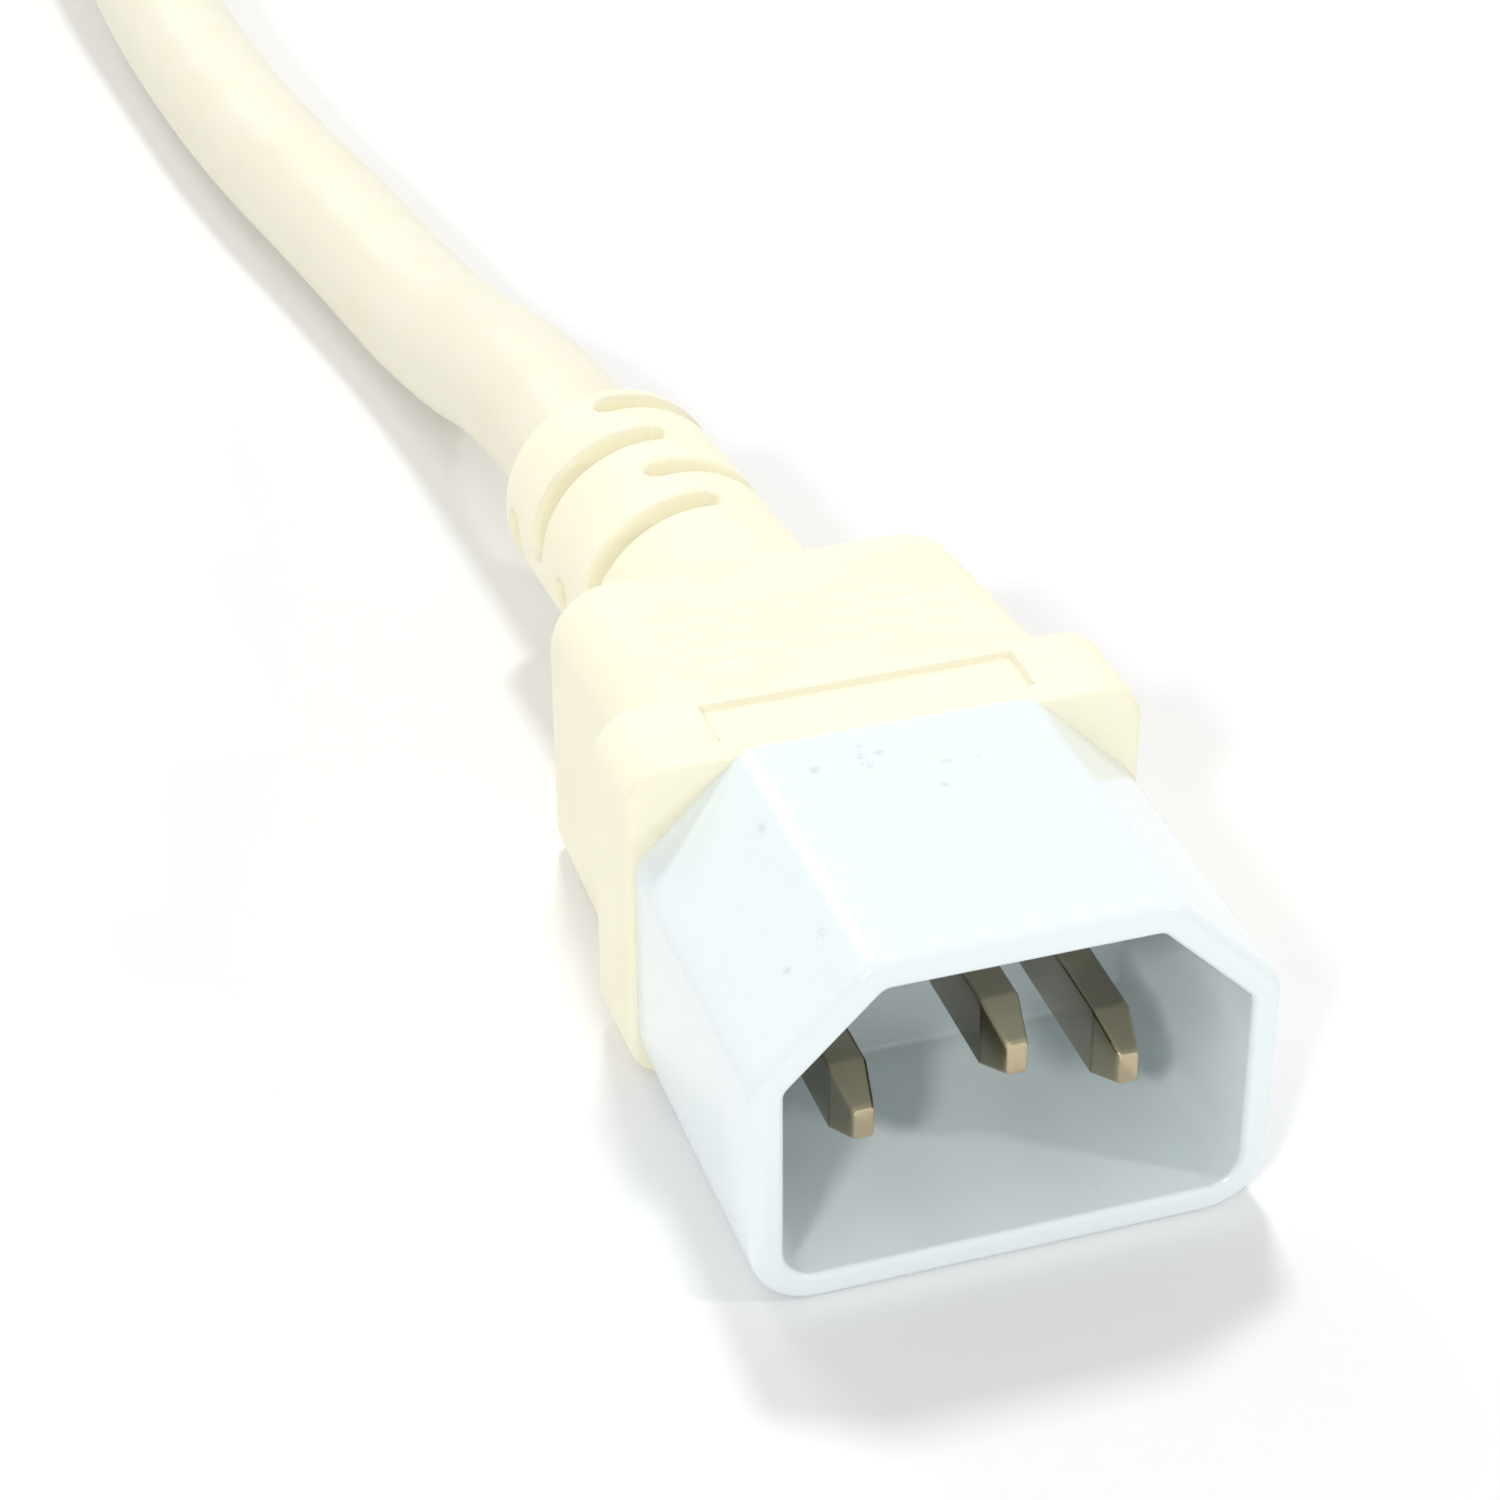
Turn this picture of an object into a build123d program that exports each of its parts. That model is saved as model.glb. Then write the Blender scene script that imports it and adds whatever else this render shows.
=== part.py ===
from build123d import *
import os
from math import dist, pi, tan

# Y-splitter power cord, in millimetres. One appliance plug with a hooded mouth feeds two
# appliance sockets through a moulded Y block. Everything lies on a flat surface, Z up.
# The plug's mouth looks along -Y and its cord leaves along +Y. The origin is the middle of
# the flat underside of the plug's flange. The chamfered corners and the earth pin are up.

os.makedirs("parts", exist_ok=True)

# The mating outline, shared by the plug's hood and the sockets' noses
hood_w = 24.2            # clear width inside the hood
hood_h = 16.6            # clear height inside the hood
hood_chamfer = 5.0       # the two upper corners
hood_low_round = 1.8     # the two lower corners
hood_top_round = 0.8     # ends of the chamfers
hood_depth = 16.0        # from the rim to the floor that carries the pins
hood_reach = 19.4        # from the rim to the flange
hood_wall = 1.65
rim_round = 0.7
rim_inner_round = 0.35
mate_clear = 0.35        # a socket's nose inside the hood, each side

# The three flat pins
pin_side = 5.1           # from the hood's side walls to the middles of line and neutral
pin_pitch = hood_w - 2 * pin_side   # line to neutral: 14 mm
earth_rise = 4.0         # earth above the other two
pin_w = 2.0
pin_h = 4.0
pin_tip_w = 1.15
pin_tip_h = 1.9
pin_lead = 2.6           # length of the tapered tip
pin_recess = 3.0         # line and neutral tips behind the rim
earth_recess = 0.7       # the earth pin stands further out and mates first
pin_fit = 0.03
pin_edge = 0.35

# Flange, body and inner hollow, the same moulding behind the plug and both sockets
flange_w = 28.4
flange_h = 19.6
axis_z = 10.0            # the mouths' middle above the surface
flange_t = 6.2
flange_round = 2.4
flange_edge = 0.5
body_w = 24.6
body_w_back = 24.2
body_foot = 0.3          # the body's underside above the surface that the flange stands on
body_top = 19.3          # its top just behind the flange
body_top_back = 17.2     # its top at the back end
body_len = 17.2
body_end_round = 1.3
body_round = 3.6
body_low_round = 1.4
label_w = 17.4           # bare recess on top of the flange
label_l = 3.5
label_deep = 0.35
label_gap = 1.6          # from the flange's front face
mould_gap = 0.05         # soft moulding around a hard insert

# Hard inserts
carrier_w = 20.0
carrier_h = 11.0
carrier_t = 5.0
carrier_round = 2.0
neck_t = flange_t / 2    # how deep the insert's outline runs into the flange
crimp_d = 3.2
crimp_l = 4.5
hollow_size = (20.0, 11.0)   # the hollow right behind an insert
hollow_end = 1.0         # it narrows to the bore this far before the body's end
wire_lead = 2.5          # straight wire behind a barrel

# Sockets
nose_len = hood_depth + 0.6   # a nose meets the hood's floor before its flange meets the rim
nose_wall = 1.4
nose_edge = 0.5
face_recess = 0.3
face_wall = 1.2
slot_clear = 0.25        # a pin in its slot, each side
slot_round = 0.4
contact_clear = 0.1      # a pin in its spring contact, each side
contact_wall = 0.4
contact_len = hood_depth - 1.5
contact_back = 0.8       # closed end of a contact
contact_fit = 0.05       # a contact in its chamber, each side
contact_at = 2.0         # from the mouth to the contact
socket_crimp_d = 3.0
socket_crimp_l = 6.5
insert_extra = 1.4       # how much deeper than the nose the insert reaches

# Cords
trunk_d = 9.2
trunk_core_d = 2.7
tail_d = 7.2
tail_core_d = 2.2
core_bend = 4.0
bundle_clear = 0.1       # between the cores of one bundle
bore_clear = 0.35        # around a bundle in its bore

# Strain reliefs: round sleeves with staggered slots
plug_tip_round = 1.8
relief_tip_round = 1.2
slot_w = 1.8
slot_deep = 1.4
slot_span = 106.0
slot_middles = (51.0, 132.0)   # where the slots of one ring and of the next are, in degrees
plug_relief_d = 14.0      # at the body
plug_relief_tip_d = 13.6
plug_relief_rings = 4
tail_relief_d = 12.4
tail_relief_tip_d = 10.6
socket_relief_l = 20.0
socket_relief_rings = 4
block_relief_l = 20.0
block_relief_rings = 4
slot_pitch = 4.52
slot_to_tip = 0.68       # the last slot's middle from the tip, in pitches
trunk_relief_tip_d = 12.4

# Y block
block_len = 36.0
block_h = 15.0
block_round = 3.0
block_end_round = 2.4
block_wall = 2.2
tail_pitch = 13.6        # between the two tails where they leave the block
splice_w = 5.2
splice_gap = 1.0         # between two splices
block_w_front = 3 * splice_w + 4.4   # 20 mm: room for the splices and two walls
block_w_back = block_w_front + 8.0
splice_h = 3.0
splice_l = 8.0
splice_pitch = splice_w + splice_gap   # line, earth and neutral splices, side by side
splice_at = 11.0         # from the block's front to the splices
layer_gap = 2.7          # height between the three sets of wires in the block
fan_start = 2.4          # where the trunk's wires part, from the block's front
fan_end = 9.0
cross_start = 21.4       # where the tails' wires part, from the block's front
cross_end = 29.4
gather_end = 33.0        # where they lie together again

# How the cords lie. The trunk follows the photograph down to the surface and the two tails
# lie side by side behind the block. A step is (across, along, height of the cord's middle),
# across and along counted from the place where that cord starts.
plug_relief_l = 23.7
relief_aside = -0.6      # the plug's strain relief sits a little aside
lean_x = -0.0591         # it leans aside and droops, per length
lean_z = -0.0169
first_run = 13.5
clear_of_floor = 0.1
tail_shift = -13.2       # the block's middle, across

block_z = block_h / 2
trunk_z = trunk_d / 2 + clear_of_floor
tail_z = tail_d / 2 + clear_of_floor

body_end = flange_t / 2 + body_len
trunk_start_x = relief_aside + lean_x * plug_relief_l
trunk_start_y = body_end + plug_relief_l
trunk_start_z = axis_z + lean_z * plug_relief_l
block_x = tail_shift
block_start_y = trunk_start_y + 128.0
block_front_y = block_start_y + block_relief_l
tail_start_y = block_front_y + block_len + block_relief_l

trunk_steps = [
    (0.0, 0.0, trunk_start_z),
    (lean_x * first_run, first_run, trunk_start_z + lean_z * first_run),
    (-2.4, 30.0, trunk_z),
    (-5.0, 49.0, trunk_z),
    (-8.6, 70.0, trunk_z),
    (-10.4, 94.0, trunk_z),
    (block_x - trunk_start_x, 112.0, block_z),
    (block_x - trunk_start_x, 128.0, block_z),
]
tail_a_steps = [
    (0.0, 0.0, block_z),
    (0.0, 13.0, block_z),
    (-1.6, 30.0, tail_z),
    (-7.5, 54.0, tail_z),
    (-11.0, 79.0, tail_z),
    (-9.6, 102.0, axis_z),
    (-9.6, 116.0, axis_z),
]
tail_b_steps = [
    (0.0, 0.0, block_z),
    (0.0, 13.0, block_z),
    (1.4, 31.0, tail_z),
    (7.3, 56.0, tail_z),
    (11.3, 82.0, tail_z),
    (9.2, 106.0, axis_z),
    (9.2, 121.0, axis_z),
]


def laid(start_x, start_y, steps):
    """Turn the steps of a cord into points."""
    return [(start_x + across, start_y + along, height) for across, along, height in steps]


trunk_route = laid(trunk_start_x, trunk_start_y, trunk_steps)
tail_a_route = laid(block_x - tail_pitch / 2, tail_start_y, tail_a_steps)
tail_b_route = laid(block_x + tail_pitch / 2, tail_start_y, tail_b_steps)


def facing(origin, toward):
    """A plane at origin that looks toward another point, its own y upwards."""
    ahead = Vector(*toward) - Vector(*origin)
    return Plane(origin, x_dir=(-ahead.Y, ahead.X, 0), z_dir=ahead)


def save(part, name):
    """Label a finished piece and write it under its own name."""
    part.label = name
    export_step(part, f"parts/{name}.step")


def mating_outline(plane, inset=0.0):
    """The six-sided outline of the hood's inside, moved inwards by inset on every side."""
    with BuildSketch(plane) as outline:
        Rectangle(hood_w - 2 * inset, hood_h - 2 * inset)
        corner = hood_chamfer - inset * (2 - 2**0.5)
        chamfer(outline.vertices().group_by(Axis.Y)[-1], corner)
        fillet(outline.vertices().group_by(Axis.Y)[0], max(hood_low_round - inset, 0.3))
        upper = [v for v in outline.vertices() if v.Y > 0]
        fillet(upper, max(hood_top_round - inset, 0.3))
    return outline.sketch


def outline_block(plane, start, end, inset=0.0):
    """A block with the mating outline, between two depths behind a mouth."""
    return extrude(mating_outline(plane.offset(start), inset), amount=end - start)


def flat_block(plane, start, end, size, radius, centre=(0, 0)):
    """A block with rounded corners, between two depths behind a mouth."""
    with BuildPart() as block:
        with BuildSketch(plane.offset(start)):
            with Locations(centre):
                RectangleRounded(size[0], size[1], radius)
        extrude(amount=end - start)
    return block.part


def round_rod(plane, start, end, diameter, centre=(0, 0)):
    """A round rod or bore, between two depths behind a mouth."""
    with BuildPart() as rod:
        with BuildSketch(plane.offset(start)):
            with Locations(centre):
                Circle(diameter / 2)
        extrude(amount=end - start)
    return rod.part


def funnel(plane, start, end, size_start, size_end, radius_start, radius_end, aside=0.0):
    """A hollow that narrows or widens between two depths behind a mouth, its end a little aside."""
    with BuildPart() as hollow:
        with BuildSketch(plane.offset(start)):
            RectangleRounded(size_start[0], size_start[1], radius_start)
        with BuildSketch(plane.offset(end)):
            with Locations((aside, 0)):
                RectangleRounded(size_end[0], size_end[1], radius_end)
        loft(ruled=True)
    return hollow.part


def body_section(plane, width, top):
    """A cross-section of the body: well rounded above, a little below, standing on its foot."""
    height = top - body_foot
    with BuildSketch(plane) as section:
        with Locations((0, body_foot + height / 2 - axis_z)):
            Rectangle(width, height)
        fillet(section.vertices().group_by(Axis.Y)[-1], body_round)
        fillet(section.vertices().group_by(Axis.Y)[0], body_low_round)
    return section.sketch


def slot_cutter(base, radius, at, middle):
    """One curved slot of a strain relief, with round ends, cut from its outside."""
    low = radius - slot_deep
    high = radius + 1.0
    start = middle - slot_span / 2
    with BuildPart() as cutter:
        with BuildSketch(base.offset(at - slot_w / 2)):
            with BuildLine():
                outer = CenterArc((0, 0), high, start, slot_span)
                inner = CenterArc((0, 0), low, start, slot_span)
                Line(outer @ 0, inner @ 0)
                Line(outer @ 1, inner @ 1)
            make_face()
        extrude(amount=slot_w)
        ends = cutter.edges().filter_by(lambda e: abs(e.length - (high - low)) < 0.01)
        fillet(ends, slot_w * 0.45)
    return cutter.part


def relief(base, length, root_d, tip_d, tip_round, rings, root=1.5):
    """A tapered strain relief on base, rooted in it, with two opposite slots in every ring."""
    with BuildPart() as sleeve:
        with BuildSketch(base.offset(-root)):
            Circle(root_d / 2)
        with BuildSketch(base.offset(length)):
            Circle(tip_d / 2)
        loft()
        tip = sleeve.faces().sort_by(Axis(base.origin, base.z_dir))[-1]
        fillet(tip.edges(), tip_round)
        for ring in range(rings):
            at = length - slot_pitch * (rings - 1 - ring + slot_to_tip)
            radius = root_d / 2 - (root_d - tip_d) / 2 * (at + root) / (length + root)
            middle = slot_middles[ring % 2]
            for side in (0, 180):
                add(slot_cutter(base, radius, at, middle + side), mode=Mode.SUBTRACT)
    return sleeve.part


def bundle(diameter, side=1, up=1):
    """Where the three wires of one cord lie in its cross-section, touching but for a clearance."""
    pitch = diameter + bundle_clear
    centre = pitch / 3**0.5
    return {
        "line": (-side * pitch / 2, -up * centre / 2),
        "neutral": (side * pitch / 2, -up * centre / 2),
        "earth": (0, up * centre),
    }


def bore_of(diameter):
    """The bore that takes such a bundle."""
    return 2 * ((diameter + bundle_clear) / 3**0.5 + bore_clear) + diameter


def wire(points, diameter):
    """An insulated wire along points, with equal bends."""
    with BuildPart() as core:
        with BuildLine():
            FilletPolyline(*points, radius=core_bend)
        with BuildSketch(facing(points[0], points[1])):
            Circle(diameter / 2)
        sweep()
    return core.part


def cord(name, points, diameter):
    """A cord along its route: straight runs joined by the widest arcs that fit between them."""
    radii = []
    for before, here, after in zip(points, points[1:], points[2:]):
        shorter = min(dist(before, here), dist(here, after))
        turn = (Vector(*here) - Vector(*before)).get_angle(Vector(*after) - Vector(*here))
        radii.append(0.45 * shorter / tan(turn * pi / 360))
    with BuildPart() as tube:
        with BuildLine() as path:
            FilletPolyline(*points, radius=radii)
        with BuildSketch(facing(points[0], points[1])):
            Circle(diameter / 2)
        sweep()
    length = sum(edge.length for edge in path.edges())
    full = length * pi * diameter**2 / 4
    print(name, "length", round(length, 1), "radii", [round(r) for r in radii])
    print(name, "volume against section times length", round(tube.part.volume / full, 4))
    save(tube.part, name)


def wire_room(mouth, start, barrels_end, body_back, bore, aside=0.0):
    """The hollow behind an insert: full width past the barrels, then narrowing to the bore."""
    narrow = barrels_end + wire_lead + 1.0
    wide = bore + 0.5
    with BuildPart() as room:
        add(flat_block(mouth, start - 0.5, narrow, hollow_size, carrier_round))
        add(funnel(mouth, narrow, body_back - hollow_end, hollow_size, (wide, wide), carrier_round,
                   wide * 0.49, aside))
    return room.part


def at_depth(plane, spot, depth):
    """A point behind a mouth as plain numbers."""
    return tuple(plane.from_local_coords((spot[0], spot[1], depth)))


def grip(mouth, reach):
    """Flange and body, the outer shape that the plug and the sockets share."""
    with BuildPart() as shape:
        with BuildSketch(mouth.offset(reach)):
            with Locations((0, flange_h / 2 - axis_z)):
                RectangleRounded(flange_w, flange_h, flange_round)
        extrude(amount=flange_t)
        along = Axis(mouth.origin, mouth.z_dir)
        front = shape.faces().sort_by(along)[0]
        back = shape.faces().sort_by(along)[-1]
        fillet(front.edges() + back.edges(), flange_edge)
        near = body_section(mouth.offset(reach + flange_t), body_w, body_top)
        far = body_section(mouth.offset(reach + flange_t + body_len), body_w_back, body_top_back)
        loft([near, far], ruled=True)
        end = shape.faces().sort_by(along)[-1]
        fillet(end.edges(), body_end_round)
        top_y = flange_h - axis_z - label_deep
        with BuildSketch(mouth.offset(reach + label_gap)):
            with Locations((0, top_y + 1)):
                Rectangle(label_w, 2)
        extrude(amount=label_l, mode=Mode.SUBTRACT)
    return shape.part


# The plug
low_y = -earth_rise / 2
pin_spots = {"line": (-pin_pitch / 2, low_y), "neutral": (pin_pitch / 2, low_y), "earth": (0, -low_y)}
mouth_y = -(flange_t / 2 + hood_reach)
plug_mouth = Plane((0, mouth_y, axis_z), x_dir=(-1, 0, 0), z_dir=(0, 1, 0))
carrier_front = hood_reach + neck_t
carrier_back = carrier_front + carrier_t
plug_body_end = hood_reach + flange_t + body_len
plug_core_start = carrier_back + crimp_l

with BuildPart() as plug_insert:
    add(outline_block(plug_mouth, 0, hood_reach, -hood_wall))
    add(outline_block(plug_mouth, hood_reach, carrier_front))
    add(flat_block(plug_mouth, carrier_front, carrier_back, (carrier_w, carrier_h), carrier_round))
    add(outline_block(plug_mouth, 0, hood_depth), mode=Mode.SUBTRACT)
    rim = plug_insert.faces().sort_by(Axis.Y)[0]
    fillet(rim.outer_wire().edges(), rim_round)
    rim = plug_insert.faces().sort_by(Axis.Y)[0]
    fillet(rim.inner_wires()[0].edges(), rim_inner_round)
    for spot in pin_spots.values():
        size = (pin_w + 2 * pin_fit, pin_h + 2 * pin_fit)
        slot = flat_block(plug_mouth, hood_depth - 1, carrier_back + 1, size, pin_edge, spot)
        add(slot, mode=Mode.SUBTRACT)
save(plug_insert.part, "plug_insert")

for pole, spot in pin_spots.items():
    tip_at = earth_recess if pole == "earth" else pin_recess
    with BuildPart() as pin:
        with BuildSketch(plug_mouth.offset(tip_at)):
            with Locations(spot):
                RectangleRounded(pin_tip_w, pin_tip_h, pin_edge)
        with BuildSketch(plug_mouth.offset(tip_at + pin_lead)):
            with Locations(spot):
                RectangleRounded(pin_w, pin_h, pin_edge)
        loft(ruled=True)
        add(flat_block(plug_mouth, tip_at + pin_lead, carrier_back, (pin_w, pin_h), pin_edge, spot))
        add(round_rod(plug_mouth, carrier_back, plug_core_start, crimp_d, spot))
    save(pin.part, f"plug_{pole}_pin")

relief_root = (relief_aside, body_end, axis_z)
relief_base = facing(relief_root, trunk_route[0])
relief_l = dist(relief_root, trunk_route[0])
trunk_bore = bore_of(trunk_core_d)

with BuildPart() as plug_overmould:
    add(grip(plug_mouth, hood_reach))
    add(relief(relief_base, relief_l, plug_relief_d, plug_relief_tip_d, plug_tip_round,
               plug_relief_rings))
    add(outline_block(plug_mouth, hood_reach - 1, carrier_front, -mould_gap), mode=Mode.SUBTRACT)
    pocket = (carrier_w + 2 * mould_gap, carrier_h + 2 * mould_gap)
    add(flat_block(plug_mouth, carrier_front - 1, carrier_back, pocket, carrier_round), mode=Mode.SUBTRACT)
    room = wire_room(plug_mouth, carrier_back, plug_core_start, plug_body_end, trunk_bore, -relief_aside)
    add(room, mode=Mode.SUBTRACT)
    add(round_rod(relief_base, -hollow_end - 0.5, relief_l + 1, trunk_bore), mode=Mode.SUBTRACT)
save(plug_overmould.part, "plug_overmould")

trunk_bundle = bundle(trunk_core_d)
for pole, spot in pin_spots.items():
    points = [
        at_depth(plug_mouth, spot, plug_core_start),
        at_depth(plug_mouth, spot, plug_core_start + wire_lead),
        at_depth(relief_base, trunk_bundle[pole], -hollow_end),
        at_depth(relief_base, trunk_bundle[pole], relief_l),
    ]
    save(wire(points, trunk_core_d), f"plug_{pole}_core")

# The cords
cord("trunk_cord", trunk_route, trunk_d)
cord("tail_a_cord", tail_a_route, tail_d)
cord("tail_b_cord", tail_b_route, tail_d)

# The Y block: its own depths are counted from its front
block = Plane((block_x, block_front_y, block_z), x_dir=(-1, 0, 0), z_dir=(0, 1, 0))
tail_spots = {"a": (tail_pitch / 2, 0), "b": (-tail_pitch / 2, 0)}
tail_bore = bore_of(tail_core_d)

with BuildPart() as splitter_body:
    add(funnel(block, 0, block_len, (block_w_front, block_h), (block_w_back, block_h), block_round,
               block_round))
    fillet(splitter_body.faces().sort_by(Axis.Y)[0].edges(), block_end_round)
    fillet(splitter_body.faces().sort_by(Axis.Y)[-1].edges(), block_end_round)
    toward_trunk = Plane(block.origin, x_dir=(1, 0, 0), z_dir=(0, -1, 0))
    root = block_end_round + 0.5
    add(relief(toward_trunk, block_relief_l, plug_relief_d, trunk_relief_tip_d, relief_tip_round,
               block_relief_rings, root))
    for spot in tail_spots.values():
        base = Plane(at_depth(block, spot, block_len), x_dir=(-1, 0, 0), z_dir=(0, 1, 0))
        add(relief(base, block_relief_l, tail_relief_d, tail_relief_tip_d, relief_tip_round,
                   block_relief_rings, root))
    wall = 2 * block_wall
    front = (block_w_front - wall, block_h - wall)
    back = (block_w_back - wall, block_h - wall)
    inner_round = block_round - block_wall / 2
    hollow = funnel(block, block_wall, block_len - block_wall, front, back, inner_round, inner_round)
    add(hollow, mode=Mode.SUBTRACT)
    add(round_rod(block, -block_relief_l - 1, block_wall + 1, trunk_bore), mode=Mode.SUBTRACT)
    for spot in tail_spots.values():
        bore = round_rod(block, gather_end, block_len + block_relief_l + 1, tail_bore, spot)
        add(bore, mode=Mode.SUBTRACT)
save(splitter_body.part, "splitter_body")

splice_spots = {
    "line": (-splice_pitch, 0),
    "earth": (0, -layer_gap),
    "neutral": (splice_pitch, layer_gap),
}
splice_back = splice_at + splice_l
arriving = bundle(trunk_core_d, up=-1)
leaving = {"line": bundle(tail_core_d)["line"], "earth": bundle(tail_core_d)["neutral"],
           "neutral": bundle(tail_core_d)["earth"]}
splice_size = (splice_w, splice_h)
for pole, spot in splice_spots.items():
    splice = flat_block(block, splice_at, splice_back, splice_size, splice_h * 0.48, spot)
    save(splice, f"splitter_{pole}_splice")
    points = [
        at_depth(block, arriving[pole], -block_relief_l),
        at_depth(block, arriving[pole], fan_start),
        at_depth(block, spot, fan_end),
        at_depth(block, spot, splice_at),
    ]
    save(wire(points, trunk_core_d), f"splitter_{pole}_core")
    for tail, tail_spot in tail_spots.items():
        side = 1 if tail == "a" else -1
        start = (spot[0] + side * (tail_core_d + bundle_clear) / 2, spot[1])
        across = (tail_spot[0] + leaving[pole][0], spot[1])
        end = (across[0], leaving[pole][1])
        points = [
            at_depth(block, start, splice_back),
            at_depth(block, start, cross_start),
            at_depth(block, across, cross_end),
            at_depth(block, end, gather_end),
            at_depth(block, end, block_len + block_relief_l),
        ]
        save(wire(points, tail_core_d), f"splitter_{pole}_core_{tail}")

# The two sockets, their mouths looking along +Y
insert_back = nose_len + insert_extra
insert_inset = mate_clear + nose_wall + mould_gap
contact_in = (pin_w + 2 * contact_clear, pin_h + 2 * contact_clear)
contact_out = (contact_in[0] + 2 * contact_wall, contact_in[1] + 2 * contact_wall)
chamber = (contact_out[0] + 2 * contact_fit, contact_out[1] + 2 * contact_fit)
opening = (pin_w + 2 * slot_clear, pin_h + 2 * slot_clear)
contact_end = contact_at + contact_len
barrel_end = contact_end + socket_crimp_l
socket_body_end = nose_len + flange_t + body_len
socket_end = socket_body_end + socket_relief_l
socket_bundle = bundle(tail_core_d, side=-1)

for tail, route in {"a": tail_a_route, "b": tail_b_route}.items():
    mouth = Plane((route[-1][0], route[-1][1] + socket_end, axis_z), x_dir=(1, 0, 0), z_dir=(0, -1, 0))
    base = mouth.offset(socket_body_end)
    with BuildPart() as overmould:
        add(outline_block(mouth, 0, nose_len, mate_clear))
        fillet(overmould.faces().sort_by(Axis.Y)[-1].edges(), nose_edge)
        add(grip(mouth, nose_len))
        add(relief(base, socket_relief_l, tail_relief_d, tail_relief_tip_d, relief_tip_round,
                   socket_relief_rings))
        hole = mate_clear + nose_wall
        add(outline_block(mouth, -1, insert_back, hole), mode=Mode.SUBTRACT)
        add(wire_room(mouth, insert_back, barrel_end, socket_body_end, tail_bore), mode=Mode.SUBTRACT)
        bore = round_rod(mouth, socket_body_end - hollow_end - 0.5, socket_end + 1, tail_bore)
        add(bore, mode=Mode.SUBTRACT)
    save(overmould.part, f"socket_{tail}_overmould")

    spots = {pole: (-spot[0], spot[1]) for pole, spot in pin_spots.items()}
    with BuildPart() as insert:
        add(outline_block(mouth, face_recess, insert_back, insert_inset))
        for spot in spots.values():
            deep = face_recess + face_wall
            add(flat_block(mouth, 0, insert_back, opening, slot_round, spot), mode=Mode.SUBTRACT)
            add(flat_block(mouth, deep, insert_back + 1, chamber, slot_round, spot), mode=Mode.SUBTRACT)
    save(insert.part, f"socket_{tail}_insert")

    for pole, spot in spots.items():
        with BuildPart() as contact:
            add(flat_block(mouth, contact_at, contact_end, contact_out, pin_edge, spot))
            closed_at = contact_end - contact_back
            inside = flat_block(mouth, contact_at - 1, closed_at, contact_in, pin_edge, spot)
            add(inside, mode=Mode.SUBTRACT)
            add(round_rod(mouth, contact_end, barrel_end, socket_crimp_d, spot))
        save(contact.part, f"socket_{tail}_{pole}_contact")
        points = [
            at_depth(mouth, spot, barrel_end),
            at_depth(mouth, spot, barrel_end + wire_lead),
            at_depth(mouth, socket_bundle[pole], socket_body_end - hollow_end),
            at_depth(mouth, socket_bundle[pole], socket_end),
        ]
        save(wire(points, tail_core_d), f"socket_{tail}_{pole}_core")
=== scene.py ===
"""Y-splitter power cord: a hooded appliance plug, a Y block and two appliance sockets.

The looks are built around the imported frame, in metres and in the frame's own axes: the plug's
mouth looks along -Y, the lead runs along +Y and Z is up. Sizes in the classes are millimetres,
as a maker would write them, and are turned to metres where a mesh is made.
"""

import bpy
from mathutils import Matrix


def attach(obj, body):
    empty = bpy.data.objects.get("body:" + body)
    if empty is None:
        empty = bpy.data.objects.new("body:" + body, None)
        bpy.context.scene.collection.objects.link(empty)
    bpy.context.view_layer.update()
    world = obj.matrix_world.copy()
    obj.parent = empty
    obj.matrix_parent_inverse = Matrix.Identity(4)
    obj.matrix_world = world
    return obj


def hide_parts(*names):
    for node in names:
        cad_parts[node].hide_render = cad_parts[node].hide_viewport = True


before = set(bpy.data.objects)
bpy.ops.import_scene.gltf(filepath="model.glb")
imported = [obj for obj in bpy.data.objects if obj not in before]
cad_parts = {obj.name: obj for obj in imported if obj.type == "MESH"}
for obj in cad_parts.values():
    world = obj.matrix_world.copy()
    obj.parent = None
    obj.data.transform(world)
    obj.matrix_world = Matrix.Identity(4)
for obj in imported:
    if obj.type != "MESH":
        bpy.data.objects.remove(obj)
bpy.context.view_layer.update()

import logging
import math
from collections.abc import Callable, Iterable, Sequence
from dataclasses import dataclass, field
from enum import Enum
from typing import Any, ClassVar

import bmesh
import bpy
from mathutils import Matrix, Vector

LOG = logging.getLogger("y_splitter")
MM = 0.001
BODY = "root"
QUARTER = math.pi / 2
# The attribute that masks painted shade in recesses, slots and faint lines.
SHADE_MASK = "sunk"
LEAST_ROUND = 0.3
HOOD_TOP = 19.95

Colour = tuple[float, float, float, float]
Point = tuple[float, float, float]
Flat = tuple[float, float]
Value = "Signal | float"
Settings = dict[str, Any] | None
Inputs = dict[str | int, Any] | None
Piece = bpy.types.Object
Material = bpy.types.Material

BLACK: Colour = (0.0, 0.0, 0.0, 1.0)
WHITE: Colour = (1.0, 1.0, 1.0, 1.0)


class Pole(Enum):
    """The three wires of the lead."""

    LINE = "line"
    NEUTRAL = "neutral"
    EARTH = "earth"


class Tail(Enum):
    """The two tails of the lead."""

    A = "a"
    B = "b"


# ---- node trees ----


def joining(operation: str, turned: bool = False) -> Callable[["Signal", Value], "Signal"]:
    """An operator that adds a Math node on two values.

    Args:
        operation: The node's operation.
        turned: Whether the other value comes first, as in 1 - mask.

    Returns:
        The operator, as a method of Signal.
    """

    def method(self: "Signal", other: Value) -> "Signal":
        """Join this value and another by a Math node."""
        return self.graph.math(operation, *((other, self) if turned else (self, other)))

    return method


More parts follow.
